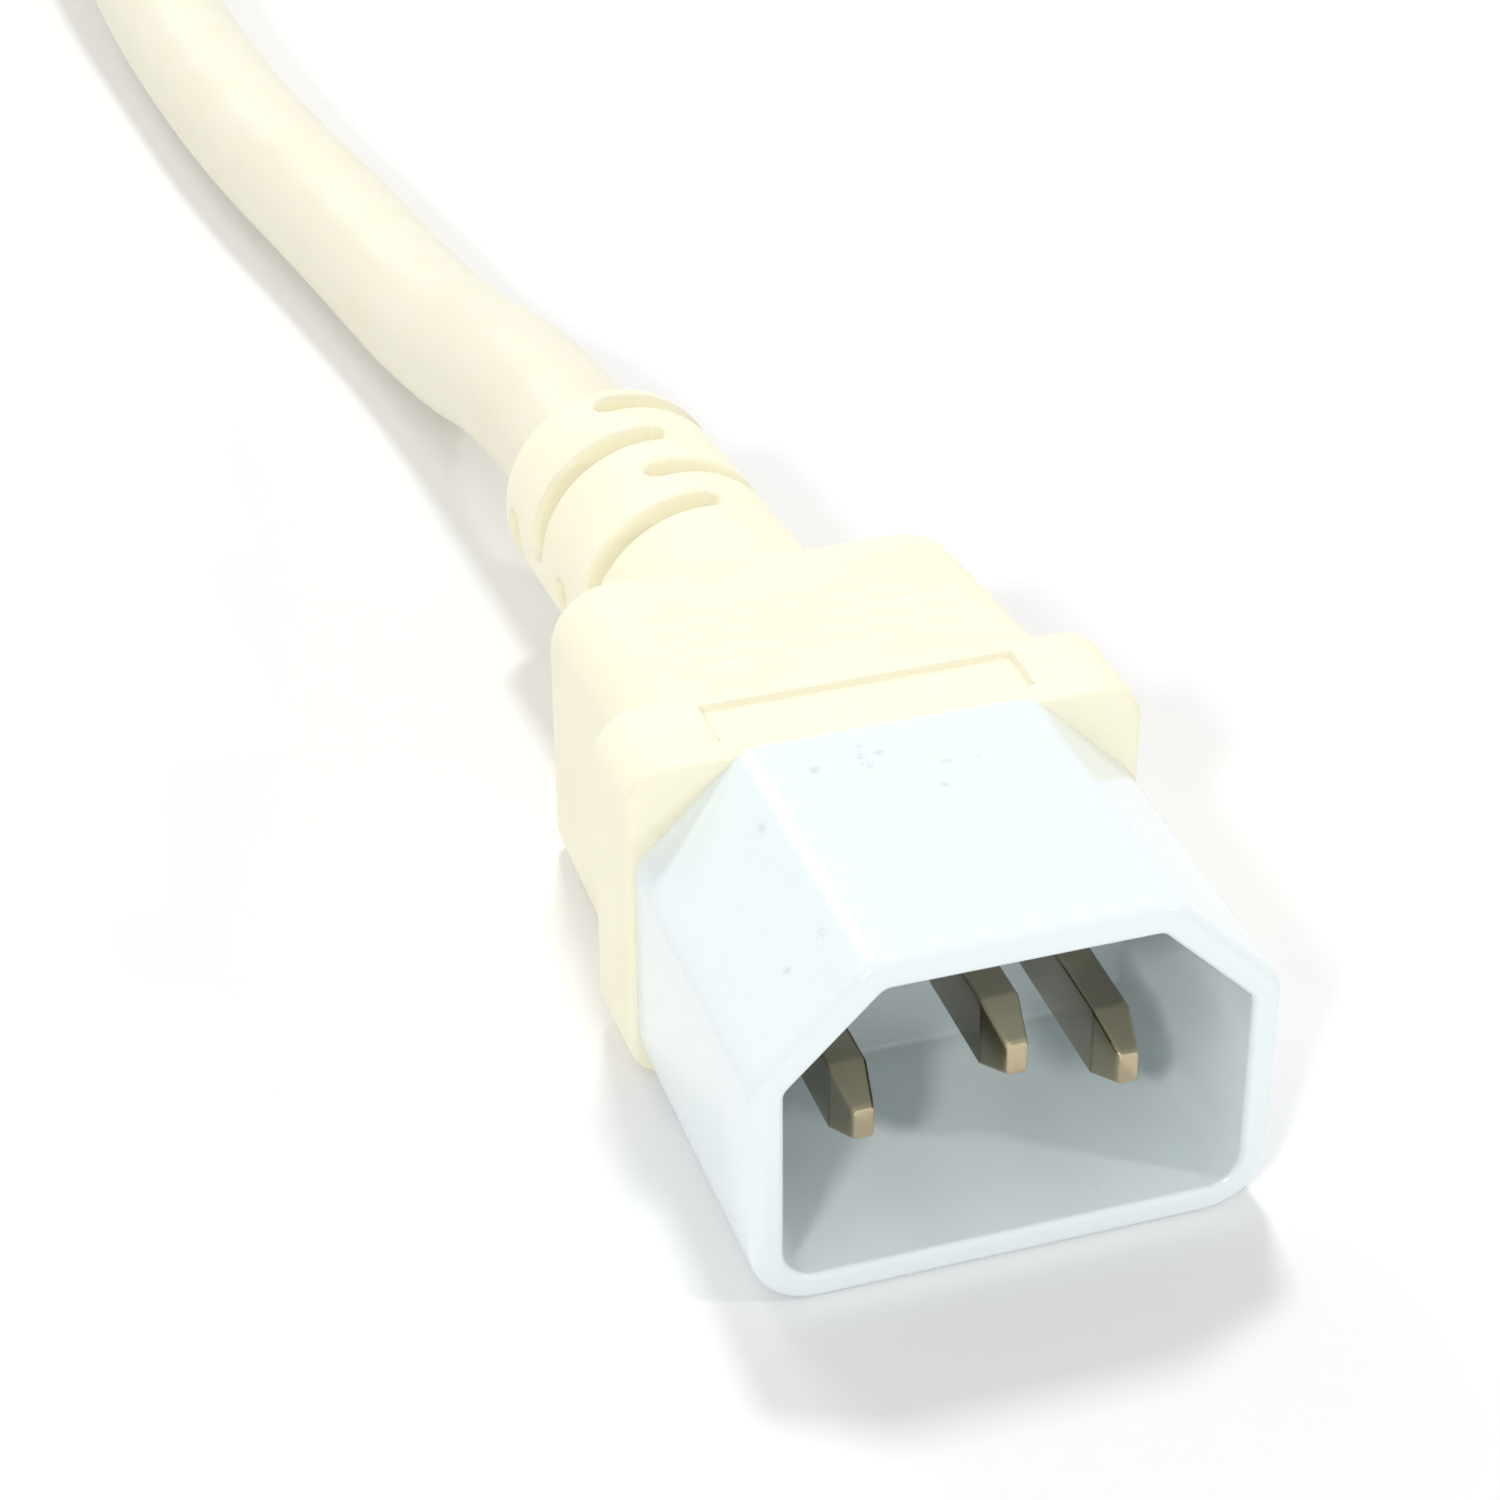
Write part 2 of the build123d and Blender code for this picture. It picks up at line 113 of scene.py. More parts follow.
class Signal:
    """One value in a node tree. Arithmetic on it adds Math nodes to the tree."""

    __add__, __radd__ = joining("ADD"), joining("ADD", turned=True)
    __sub__, __rsub__ = joining("SUBTRACT"), joining("SUBTRACT", turned=True)
    __mul__, __rmul__ = joining("MULTIPLY"), joining("MULTIPLY", turned=True)
    __truediv__, __rtruediv__ = joining("DIVIDE"), joining("DIVIDE", turned=True)
    least, most = joining("MINIMUM"), joining("MAXIMUM")

    def __init__(self, graph: "Graph", socket: bpy.types.NodeSocket) -> None:
        """Keep the socket and the tree that it belongs to."""
        self.graph = graph
        self.socket = socket

    def __abs__(self) -> "Signal":
        """Size without sign."""
        return self.graph.math("ABSOLUTE", self)

    def __neg__(self) -> "Signal":
        """The same value with its sign turned."""
        return self * -1.0

    def root(self) -> "Signal":
        """Square root."""
        return self.graph.math("SQRT", self)

    def smooth(self, low: Value, high: Value, start: float = 0.0, end: float = 1.0) -> "Signal":
        """Ease from start at low to end at high.

        Args:
            low: Where the step begins.
            high: Where it ends.
            start: The value below the step.
            end: The value above it.

        Returns:
            The eased value.
        """
        return self.graph.signal(
            "ShaderNodeMapRange",
            {"interpolation_type": "SMOOTHSTEP"},
            {"Value": self, "From Min": low, "From Max": high, "To Min": start, "To Max": end},
        )


class Graph:
    """A node tree of any kind, with one way to add a node."""

    def __init__(self, tree: bpy.types.NodeTree) -> None:
        """Keep the tree that the nodes go into."""
        self.tree = tree

    def feed(self, socket: bpy.types.NodeSocket, value: Any) -> None:
        """Link a value to an input, or set the input to it.

        Args:
            socket: The input.
            value: A signal or a socket to link, or a plain value to set.
        """
        if isinstance(value, Signal):
            value = value.socket
        if isinstance(value, bpy.types.NodeSocket):
            self.tree.links.new(value, socket)
        else:
            socket.default_value = value

    def node(self, kind: str, settings: Settings = None, inputs: Inputs = None) -> bpy.types.Node:
        """Add a node.

        Args:
            kind: The node's type.
            settings: Its own settings, set before its inputs.
            inputs: Values or links of its sockets, by name or by number.

        Returns:
            The new node.
        """
        node = self.tree.nodes.new(kind)
        for name, value in (settings or {}).items():
            setattr(node, name, value)
        for key, value in (inputs or {}).items():
            self.feed(node.inputs[key], value)
        return node

    def signal(
        self, kind: str, settings: Settings = None, inputs: Inputs = None, output: str | int = 0
    ) -> Signal:
        """Add a node, as node does, and take one of its outputs as a signal."""
        return Signal(self, self.node(kind, settings, inputs).outputs[output])

    def math(self, operation: str, *values: Signal | float) -> Signal:
        """Add a Math node on signals and plain numbers and return its result."""
        return self.signal("ShaderNodeMath", {"operation": operation}, dict(enumerate(values)))

    def parts(self, vector: bpy.types.NodeSocket) -> list[Signal]:
        """The three parts of a vector."""
        node = self.node("ShaderNodeSeparateXYZ", inputs={0: vector})
        return [Signal(self, part) for part in node.outputs]


@dataclass(frozen=True)
class Noise:
    """A smooth noise: lumps along a metre, finer layers, their strength, a window and a stretch."""

    per_metre: float
    detail: float = 2.0
    roughness: float = 0.5
    window: Flat | None = None
    stretch: Point | None = None


class Paint(Graph):
    """The node tree of one material, ending in one Principled shader."""

    def __init__(self, name: str) -> None:
        """Start an empty material.

        Args:
            name: The material's name.
        """
        self.material = bpy.data.materials.new(name)
        self.material.use_nodes = True
        self.material.node_tree.nodes.clear()
        super().__init__(self.material.node_tree)
        self.place = self.node("ShaderNodeTexCoord").outputs["Object"]

    def noise(self, kind: Noise) -> Signal:
        """Smooth noise on object coordinates.

        Args:
            kind: Its lumps and layers, how it is stretched, and the window it is eased in.

        Returns:
            The noise, from 0 to 1.
        """
        place = self.place
        if kind.stretch is not None:
            place = self.signal("ShaderNodeMapping", inputs={"Vector": place, "Scale": kind.stretch})
        lumps = {"Scale": kind.per_metre, "Detail": kind.detail, "Roughness": kind.roughness}
        made = self.signal("ShaderNodeTexNoise", inputs={"Vector": place} | lumps)
        return made if kind.window is None else made.smooth(*kind.window)

    def near(self, spot: Point, reach: float, solid: float = 0.0) -> Signal:
        """A soft round patch about a spot.

        Args:
            spot: Its middle, in millimetres.
            reach: Its radius, in millimetres.
            solid: How far from its middle it begins to fade, in millimetres.

        Returns:
            1 in its middle, 0 outside it.
        """
        ends = {0: self.place, 1: tuple(v * MM for v in spot)}
        away = self.signal("ShaderNodeVectorMath", {"operation": "DISTANCE"}, ends, "Value")
        return away.smooth(solid * MM, reach * MM, 1.0, 0.0)

    def blend(self, factor: Signal, first: Any, second: Any) -> Signal:
        """Mix two colours by a factor."""
        return self.signal("ShaderNodeMix", {"data_type": "RGBA"}, {0: factor, 6: first, 7: second}, 2)

    def bump(self, height: Signal, deep: float) -> Signal:
        """A normal from a height of so many millimetres."""
        return self.signal("ShaderNodeBump", inputs={"Distance": deep * MM, "Height": height})

    def finish(self, **values: Any) -> Material:
        """End in a Principled shader.

        Args:
            **values: Its inputs, with an underscore for each space in a name.

        Returns:
            The finished material.
        """
        inputs = {name.replace("_", " "): value for name, value in values.items()}
        shader = self.node("ShaderNodeBsdfPrincipled", inputs=inputs)
        self.node("ShaderNodeOutputMaterial", inputs={"Surface": shader.outputs[0]})
        return self.material


# ---- finishes ----


@dataclass(frozen=True)
class SoftPlastic:
    """Satin soft plastic with faint clouds, flow streaks, a very fine grain and painted shade on marked
    faces.
    """

    name: str
    colour: Colour
    cloud: Colour
    roughness: float = 0.5
    grain_mm: float = 0.004
    dimple_mm: float = 0.03
    # Painted shade: the colour that marked faces darken towards.
    groove_shade: Colour = (0.80, 0.755, 0.55, 1.0)
    clouds: Noise = Noise(160.0, 3.0, 0.55, (0.3, 0.75))
    streaks: Noise = Noise(1.0, 3.0, 0.5, (0.5, 0.8), (110.0, 900.0, 160.0))
    grain: Noise = Noise(5200.0, 2.0, 0.6)
    dimples: Noise = Noise(420.0)
    cloud_tint: float = 0.55
    streak_tint: float = 0.35
    cloud_dull: float = 0.1
    streak_shine: float = 0.06

    def material(self) -> Material:
        """Make the material.

        Returns:
            The material, darkened towards its shade colour as painted shade wherever the mesh is marked.
        """
        paint = Paint(self.name)
        clouds, streaks = paint.noise(self.clouds), paint.noise(self.streaks)
        tone = (self.cloud_tint * clouds + self.streak_tint * streaks).least(1.0)
        height = paint.noise(self.grain) * (self.grain_mm / self.dimple_mm) + paint.noise(self.dimples)
        # Painted shade on the marked faces of recesses, slots and faint lines.
        sunk = paint.signal("ShaderNodeAttribute", {"attribute_name": SHADE_MASK}, output="Fac")
        return paint.finish(
            Base_Color=paint.blend(sunk, paint.blend(tone, self.colour, self.cloud), self.groove_shade),
            Roughness=self.roughness + self.cloud_dull * clouds - self.streak_shine * streaks,
            Normal=paint.bump(height, self.dimple_mm),
            IOR=1.5,
            Subsurface_Weight=0.12,
            Subsurface_Radius=(1.0, 0.85, 0.5),
            Subsurface_Scale=0.0012,
        )


@dataclass(frozen=True)
class HardPlastic:
    """Glossy cool white plastic, scuffed where sockets have been pushed over it."""

    name: str
    colour: Colour
    scuff: Colour
    marks: tuple[tuple[Point, float], ...] = ()
    roughness: float = 0.13
    smears: Noise = Noise(130.0, 3.0, 0.5, (0.2, 0.9))
    rubs: Noise = Noise(1.0, 4.0, 0.6, (0.7, 0.85), (620.0, 90.0, 620.0))
    specks: Noise = Noise(1100.0, 3.0, 0.6, (0.68, 0.76))
    ragged: Noise = Noise(2600.0, 3.0, 0.7, (0.38, 0.6))
    waves: Noise = Noise(70.0, 2.0, 0.4)
    rub_tint: float = 0.25
    speck_tint: float = 0.2
    mark_tint: float = 0.65
    smear_dull: float = 0.06
    worn_dull: float = 0.3
    worn_deep: float = 0.25
    wave_mm: float = 0.05

    def material(self) -> Material:
        """Make the material.

        Returns:
            The material, with a ragged scuff at each mark.
        """
        paint = Paint(self.name)
        smears = paint.noise(self.smears)
        specks = self.speck_tint * paint.noise(self.specks) * smears
        worn = (self.rub_tint * paint.noise(self.rubs) + specks).least(1.0)
        ragged = paint.noise(self.ragged)
        for spot, reach in self.marks:
            worn = (worn + self.mark_tint * paint.near(spot, reach) * ragged).least(1.0)
        return paint.finish(
            Base_Color=paint.blend(worn, self.colour, self.scuff),
            Roughness=(self.roughness + self.smear_dull * smears + self.worn_dull * worn).least(1.0),
            Normal=paint.bump(paint.noise(self.waves) - self.worn_deep * worn, self.wave_mm),
            IOR=1.52,
            Coat_Weight=0.4,
            Coat_Roughness=0.04,
            Subsurface_Weight=0.08,
            Subsurface_Radius=(0.8, 0.9, 1.0),
            Subsurface_Scale=0.001,
        )


@dataclass(frozen=True)
class PlatedMetal:
    """Stamped metal with drawn lines along Y and dull plating, worn through on the pins' tips, with a
    painted highlight on their tapers and a painted dark reflection on their sides.
    """

    name: str
    plating: Colour
    rubbed_and_lit: Colour
    roughness: float = 0.3
    tip_at: float | None = None
    tip_fade: float = 0.5
    middle_ahead: float = 2.3
    middle_within: Flat = (3.0, 4.0)
    taper: float = 2.6
    taper_fade: float = 0.2
    # Painted highlight: the share by which the tapers are lightened towards the second colour.
    taper_highlight: float = 0.3
    pitch: float = 7.0
    # Painted dark reflection of the shaded hood on the pins' sides: where it begins, its fade, its share and
    # its colour.
    side_at: float = 0.93
    side_fade: float = 0.05
    side_dark: float = 0.35
    side: Colour = (0.07, 0.06, 0.045, 1.0)
    drawn: Noise = Noise(1.0, 2.0, 0.5, None, (5000.0, 120.0, 5000.0))
    stains: Noise = Noise(260.0, 2.0, 0.5, (0.3, 0.8))
    stain_tint: float = 0.12
    taper_stain: float = 0.1
    stain_dull: float = 0.06
    drawn_shine: float = 0.04
    drawn_mm: float = 0.0006

    def material(self) -> Material:
        """Make the material.

        Returns:
            The material; with tip_at set, its tips are lighter where worn through, its tapers lighter by a
            painted highlight and its sides darker by a painted dark reflection.
        """
        paint = Paint(self.name)
        drawn, stains = paint.noise(self.drawn), paint.noise(self.stains)
        worn = stains * self.stain_tint
        dark = None
        if self.tip_at is not None:
            across, along = paint.parts(paint.place)[:2]
            out = abs(across)
            inner, outer = (v * MM for v in self.middle_within)
            ahead = out.smooth(inner, outer, self.middle_ahead * MM, 0.0)
            back = along + ahead - self.tip_at * MM
            worn = (worn + back.smooth(0.0, self.tip_fade * MM, 1.0, 0.0)).least(1.0)
            # The taper is lightened as a painted highlight, with stains over it.
            ends = (self.taper * MM, (self.taper + self.taper_fade) * MM)
            taper = back.smooth(*ends, self.taper_highlight, 0.0)
            worn = worn.most(taper + stains * self.taper_stain)
            # The sides are darkened as a painted dark reflection of the shaded hood.
            off = out.least(abs(out - self.pitch * MM))
            ends = (self.side_at * MM, (self.side_at + self.side_fade) * MM)
            dark = off.smooth(*ends, 0.0, self.side_dark)
        tone = paint.blend(worn, self.plating, self.rubbed_and_lit)
        return paint.finish(
            Base_Color=tone if dark is None else paint.blend(dark, tone, self.side),
            Metallic=1.0,
            Roughness=self.roughness + self.stain_dull * stains - self.drawn_shine * drawn,
            Normal=paint.bump(drawn, self.drawn_mm),
        )


@dataclass(frozen=True)
class WireSleeve:
    """The thin sleeve of a wire, plain or with a stripe in a second colour."""

    name: str
    colour: Colour
    stripe: Colour | None = None
    mottle: Noise = Noise(900.0)
    mottle_window: Flat = (0.3, 0.8)
    mottle_tint: float = 0.25
    grime: Colour = (0.05, 0.05, 0.05, 1.0)
    stripes_per_metre: float = 2600.0
    stripe_edge: float = 0.1
    roughness: float = 0.42
    mottle_dull: float = 0.12
    mottle_mm: float = 0.01

    def material(self) -> Material:
        """Make the material.

        Returns:
            The material.
        """
        paint = Paint(self.name)
        mottle = paint.noise(self.mottle)
        if self.stripe is None:
            grime = mottle.smooth(*self.mottle_window) * self.mottle_tint
            tone = paint.blend(grime, self.colour, self.grime)
        else:
            wave = paint.math("SINE", paint.parts(paint.place)[0] * self.stripes_per_metre)
            band = wave.smooth(-self.stripe_edge, self.stripe_edge)
            tone = paint.blend(band, self.colour, self.stripe)
        return paint.finish(
            Base_Color=tone,
            Roughness=self.roughness + self.mottle_dull * mottle,
            Normal=paint.bump(mottle, self.mottle_mm),
        )


@dataclass(frozen=True)
class Finishes:
    """Every finish of the lead."""

    moulding: SoftPlastic = SoftPlastic(
        "cream_moulding", (0.955, 0.915, 0.715, 1.0), (0.92, 0.875, 0.66, 1.0)
    )
    jacket: SoftPlastic = SoftPlastic(
        "cream_jacket", (0.865, 0.83, 0.68, 1.0), (0.835, 0.80, 0.63, 1.0), 0.46, 0.003, 0.02
    )
    insert: HardPlastic = HardPlastic(
        "cool_white_insert",
        (0.815, 0.89, 0.905, 1.0),
        (0.50, 0.54, 0.56, 1.0),
        (
            ((-5.0, -6.05, HOOD_TOP), 0.6), ((-2.4, -4.8, HOOD_TOP), 0.5), ((-2.5, -5.6, HOOD_TOP), 0.5),
            ((-2.4, -6.4, HOOD_TOP), 0.55), ((-1.5, -5.6, HOOD_TOP), 0.5), ((1.5, -7.4, HOOD_TOP), 0.45),
            ((0.7, -9.3, HOOD_TOP), 0.4), ((3.3, -7.4, HOOD_TOP), 0.35), ((-8.8, -8.8, 18.9), 0.6),
            ((-8.85, -18.0, 18.9), 0.5), ((-10.5, -18.05, 17.2), 0.4),
        ),
    )
    # The pin's second colour serves its worn tips and the painted highlight on its tapers.
    pin: PlatedMetal = PlatedMetal(
        "plated_pin", (0.335, 0.29, 0.21, 1.0), (0.55, 0.465, 0.31, 1.0), 0.2, -19.42
    )
    contact: PlatedMetal = PlatedMetal(
        "brass_contact", (0.78, 0.60, 0.30, 1.0), (0.62, 0.44, 0.20, 1.0), 0.34
    )
    splice: PlatedMetal = PlatedMetal(
        "tinned_splice", (0.70, 0.69, 0.66, 1.0), (0.66, 0.46, 0.30, 1.0), 0.4
    )
    sleeves: dict[Pole, WireSleeve] = field(
        default_factory=lambda: {
            Pole.LINE: WireSleeve("brown_sleeve", (0.20, 0.085, 0.035, 1.0)),
            Pole.NEUTRAL: WireSleeve("blue_sleeve", (0.04, 0.16, 0.52, 1.0)),
            Pole.EARTH: WireSleeve(
                "green_yellow_sleeve", (0.10, 0.42, 0.08, 1.0), (0.80, 0.72, 0.06, 1.0)
            ),
        }
    )


# ---- shapes ----


@dataclass(frozen=True)
class Corner:
    """One corner of an outline, in millimetres, and the radius that rounds it."""

    x: float
    y: float
    r: float


def rounded(
    corners: Sequence[Corner],
    per_corner: int,
    per_side: int,
    stations: dict[int, Sequence[float]] | None = None,
) -> list[Flat]:
    """Points around a convex outline with rounded corners.

    Args:
        corners: Its corners, anticlockwise.
        per_corner: Steps around each corner.
        per_side: Steps along each side.
        stations: For some sides, the places of their points instead, from 0 to 1.

    Returns:
        The points, anticlockwise, as many for every outline of the same kind.
    """
    arcs: list[list[Flat]] = []
    count = len(corners)
    for index, here in enumerate(corners):
        before, after = corners[index - 1], corners[(index + 1) % count]
        arriving = Vector((here.x - before.x, here.y - before.y)).normalized()
        leaving = Vector((after.x - here.x, after.y - here.y)).normalized()
        turn = math.acos(max(-1.0, min(1.0, arriving.dot(leaving))))
        start = Vector((here.x, here.y)) - arriving * here.r * math.tan(turn / 2)
        inward = Vector((-arriving.y, arriving.x))
        centre = start + inward * here.r
        arcs.append([])
        for step in range(per_corner + 1):
            spoke = Vector((-inward.x, -inward.y))
            spoke.rotate(Matrix.Rotation(turn * step / per_corner, 2))
            arcs[-1].append(tuple(centre + spoke * here.r))
    points: list[Flat] = []
    for index, arc in enumerate(arcs):
        points += arc
        x, y = arc[-1]
        next_x, next_y = arcs[(index + 1) % count][0]
        places = (stations or {}).get(index) or [step / per_side for step in range(1, per_side)]
        points += [(x + (next_x - x) * t, y + (next_y - y) * t) for t in places]
    return points


def box_corners(width: float, low: float, high: float, r_low: float, r_high: float) -> list[Corner]:
    """The four corners of an upright box section, anticlockwise, and the radii that round them."""
    corners = ((-0.5, low, r_low), (0.5, low, r_low), (0.5, high, r_high), (-0.5, high, r_high))
    return [Corner(share * width, up, radius) for share, up, radius in corners]


def edge_steps(radius: float, steps: int = 6) -> list[Flat]:
    """A quarter round: how far back from the side, and how far along it, each point lies."""
    turns = [QUARTER * k / steps for k in range(steps + 1)]
    return [(radius * (1 - math.sin(turn)), radius * (1 - math.cos(turn))) for turn in turns]


@dataclass(frozen=True)
class Mouth:
    """The middle of a mating face, in millimetres, and the way that depth runs behind it."""

    x: float
    y: float
    z: float
    into: int

    def at(self, across: float, up: float, depth: float) -> Vector:
        """A point of the frame, in metres."""
        return Vector((self.x + across, self.y + self.into * depth, self.z + up)) * MM


class Skin:
    """Rings of points, one behind another, joined into one closed skin."""

    def __init__(self, place: Callable[[float, float, float], Vector]) -> None:
        """Start with no rings; place turns across, up and depth into a point of the frame."""
        self.place = place
        self.rings: list[list[Vector]] = []

    def ring(self, points: Iterable[Flat], depth: float) -> None:
        """Add a ring at one depth."""
        self.rings.append([self.place(across, up, depth) for across, up in points])

    def build(self, name: str, sharp_deg: float = 40.0) -> Piece:
        """Join the rings and close both ends.

        Args:
            name: The new piece's name.
            sharp_deg: Edges that turn more than this stay crisp.

        Returns:
            The piece, with its normals outwards.
        """
        bm = bmesh.new()
        rows = [[bm.verts.new(point) for point in ring] for ring in self.rings]
        for near, far in zip(rows, rows[1:]):
            for index, corner in enumerate(near):
                after = (index + 1) % len(near)
                bm.faces.new((corner, near[after], far[after], far[index]))
        bm.faces.new(rows[0])
        bm.faces.new(rows[-1])
        bmesh.ops.remove_doubles(bm, verts=bm.verts, dist=1e-7)
        bmesh.ops.recalc_face_normals(bm, faces=bm.faces)
        for face in bm.faces:
            face.smooth = True
        sharp = math.radians(sharp_deg)
        for edge in bm.edges:
            edge.smooth = len(edge.link_faces) == 2 and edge.calc_face_angle(0.0) < sharp
        return placed(name, bm)


def placed(name: str, bm: bmesh.types.BMesh) -> Piece:
    """Turn a bmesh into an object of the scene.

    Args:
        name: The new object's name.
        bm: The bmesh, which is freed.

    Returns:
        The object, at the origin.
    """
    mesh = bpy.data.meshes.new(name)
    bm.to_mesh(mesh)
    bm.free()
    made = bpy.data.objects.new(name, mesh)
    bpy.context.scene.collection.objects.link(made)
    return made


def dress(piece: Piece, material: Material, slot: str, *nodes: str) -> None:
    """Give a new piece its material, its body and the CAD nodes that it stands for.

    Args:
        piece: The piece.
        material: Its material.
        slot: The record's material slot; not used.
        *nodes: The CAD nodes that it replaces.
    """
    piece.data.materials.clear()
    piece.data.materials.append(material)
    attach(piece, BODY)
    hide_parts(*nodes)
    LOG.info("made %s for %s", piece.name, ", ".join(nodes))


# ---- strain reliefs ----


class SlotRule(Graph):
    """The node tree that sinks rings of curved slots into a sleeve that stands along Z and marks them for
    painted shade.
    """

    SIZES = ("Length", "Pitch", "Rings", "Slot Width", "Slot Depth", "Slot Span")
    SIZES += ("Tip Angle", "Turn", "Lip")
    TO_TIP = 0.68
    OUTER_LIP = 0.6
    LEAST_RADIUS = 1e-6

    def __init__(self, material: Material) -> None:
        """Build the tree.

        Args:
            material: What the finished sleeve is made of.
        """
        tree = bpy.data.node_groups.new("sleeve_slots", "GeometryNodeTree")
        super().__init__(tree)
        for way in ("INPUT", "OUTPUT"):
            tree.interface.new_socket("Geometry", in_out=way, socket_type="NodeSocketGeometry")
        for size in self.SIZES:
            tree.interface.new_socket(size, in_out="INPUT", socket_type="NodeSocketFloat")
        entry = self.node("NodeGroupInput")
        size = {name: Signal(self, entry.outputs[name]) for name in self.SIZES}
        x, y, z = self.parts(self.node("GeometryNodeInputPosition").outputs[0])
        radius = (x * x + y * y).root().most(self.LEAST_RADIUS)
        from_tip = (size["Length"] - z) / size["Pitch"] - self.TO_TIP
        number = self.math("ROUND", from_tip).most(0.0).least(size["Rings"] - 1.0)
        along = (from_tip - number) * size["Pitch"]
        middle = size["Tip Angle"] - self.math("MODULO", number, 2.0) * size["Turn"]
        aside = self.math("WRAP", self.math("ARCTAN2", y, x) - middle, QUARTER, -QUARTER)
        half = size["Slot Width"] / 2.0
        beyond = (abs(aside) * radius - size["Slot Span"] / 2.0 * radius + half).most(0.0)
        from_slot = (along * along + beyond * beyond).root() - half
        sunk = from_slot.smooth(-size["Lip"], size["Lip"] * self.OUTER_LIP, 1.0, 0.0)
        sink = sunk * size["Slot Depth"] / radius
        offset = self.signal("ShaderNodeCombineXYZ", inputs={0: -(x * sink), 1: -(y * sink), 2: 0.0})
        moved = {"Geometry": entry.outputs[0], "Offset": offset}
        cut = self.signal("GeometryNodeSetPosition", inputs=moved)
        # The sunk share is stored too, as the mask of painted shade in the slots.
        marked = self.signal(
            "GeometryNodeStoreNamedAttribute",
            {"data_type": "FLOAT", "domain": "POINT"},
            {"Geometry": cut, "Name": SHADE_MASK, "Value": sunk},
        )
        real = self.signal("GeometryNodeRealizeInstances", inputs={0: marked})
        dressed = self.signal("GeometryNodeSetMaterial", inputs={"Geometry": real, "Material": material})
        self.node("NodeGroupOutput", inputs={0: dressed})

    def apply(self, blank: Piece, sizes: dict[str, float]) -> bpy.types.Mesh:
        """Cut a blank.

        Args:
            blank: The smooth sleeve.
            sizes: A value for every name in SIZES, lengths in metres and angles in radians.

        Returns:
            A plain mesh of the slotted sleeve.
        """
        modifier = blank.modifiers.new("slots", "NODES")
        modifier.node_group = self.tree
        for item in self.tree.interface.items_tree:
            if item.in_out == "INPUT" and item.name in sizes:
                modifier[item.identifier] = float(sizes[item.name])
        evaluated = blank.evaluated_get(bpy.context.evaluated_depsgraph_get())
        mesh = bpy.data.meshes.new_from_object(evaluated)
        blank.modifiers.remove(modifier)
        return mesh


@dataclass(frozen=True)
class Sleeve:
    """A tapered round strain relief with two opposite slots in every ring, in millimetres."""

    length: float
    root_d: float
    tip_d: float
    tip_round: float
    rings: int = 4
    pitch: float = 4.52
    slot_w: float = 1.8
    slot_deep: float = 1.4
    slot_span_deg: float = 106.0
    tip_deg: float = 132.0
    turn_deg: float = 81.0
    lip: float = 0.16
    root: float = 1.5
    cell: float = 0.2
    wide_cell: float = 1.25
    tip_steps: int = 10
    sharp_deg: float = 60.0

    def blank(self, name: str) -> Piece:
        """The smooth sleeve.

        Args:
            name: The new piece's name.

        Returns:
            The sleeve, standing along Z with the end of its root on the origin.
        """
        around = int(math.pi * self.root_d / (self.cell * self.wide_cell))
        angles = [2 * math.pi * k / around for k in range(around)]
        whole = self.root + self.length
        straight = whole - self.tip_round
        steps = int(straight / self.cell)
        discs = []
        for k in range(steps + 1):
            gone = straight * k / steps
            radius = self.root_d / 2 - (self.root_d - self.tip_d) / 2 * gone / whole
            discs.append((radius, gone - self.root))
        for back, down in reversed(edge_steps(self.tip_round, self.tip_steps)[:-1]):
            discs.append((self.tip_d / 2 - back, self.length - down))
        skin = Skin(lambda a, b, c: Vector((a, b, c)) * MM)
        for radius, height in discs:
            skin.ring([(radius * math.cos(a), radius * math.sin(a)) for a in angles], height)
        return skin.build(name, self.sharp_deg)

    def build(self, name: str, base: Point, toward: Point, rule: SlotRule) -> Piece:
        """Make the sleeve on its base.

        Args:
            name: The new piece's name.
            base: The middle of its root, in millimetres.
            toward: A point that it points at.
            rule: The slots' node tree.

        Returns:
            The piece in place.
        """
        piece = self.blank(name)
        lengths = {"Length": self.length, "Pitch": self.pitch, "Lip": self.lip}
        lengths |= {"Slot Width": self.slot_w, "Slot Depth": self.slot_deep}
        angles = {"Slot Span": self.slot_span_deg, "Tip Angle": self.tip_deg, "Turn": self.turn_deg}
        sizes = {size: value * MM for size, value in lengths.items()} | {"Rings": self.rings}
        mesh = rule.apply(piece, sizes | {size: math.radians(value) for size, value in angles.items()})
        start = Vector(base) * MM
        ahead = (Vector(toward) * MM - start).normalized()
        aside = Vector((-ahead.y, ahead.x, 0.0)).normalized()
        place = Matrix((aside, ahead.cross(aside), ahead)).transposed().to_4x4()
        place.translation = start
        mesh.transform(place)
        blank = piece.data
        piece.data = mesh
        bpy.data.meshes.remove(blank)
        mesh.name = name
        return piece


class Workshop:
    """What the sub-assemblies share: the finishes, their materials and the slots' node tree."""

    def __init__(self) -> None:
        """Make every material and the tree."""
        self.finishes = Finishes()
        every = [self.finishes.moulding, self.finishes.jacket, self.finishes.insert, self.finishes.pin]
        every += [self.finishes.contact, self.finishes.splice, *self.finishes.sleeves.values()]
        self.coats = {finish.name: finish.material() for finish in every}
        self.rule = SlotRule(self.coats[self.finishes.moulding.name])

    def soft(self, piece: Piece, node: str) -> None:
        """Dress a piece of cream moulding."""
        dress(piece, self.coats[self.finishes.moulding.name], "overmould", node)

    def relief(self, sleeve: Sleeve, name: str, ends: tuple[Point, Point], node: str) -> None:
        """Make and dress a strain relief from one end to a point that it looks at."""
        self.soft(sleeve.build(name, *ends, self.rule), node)


# ---- the moulding shared by the plug and the sockets ----


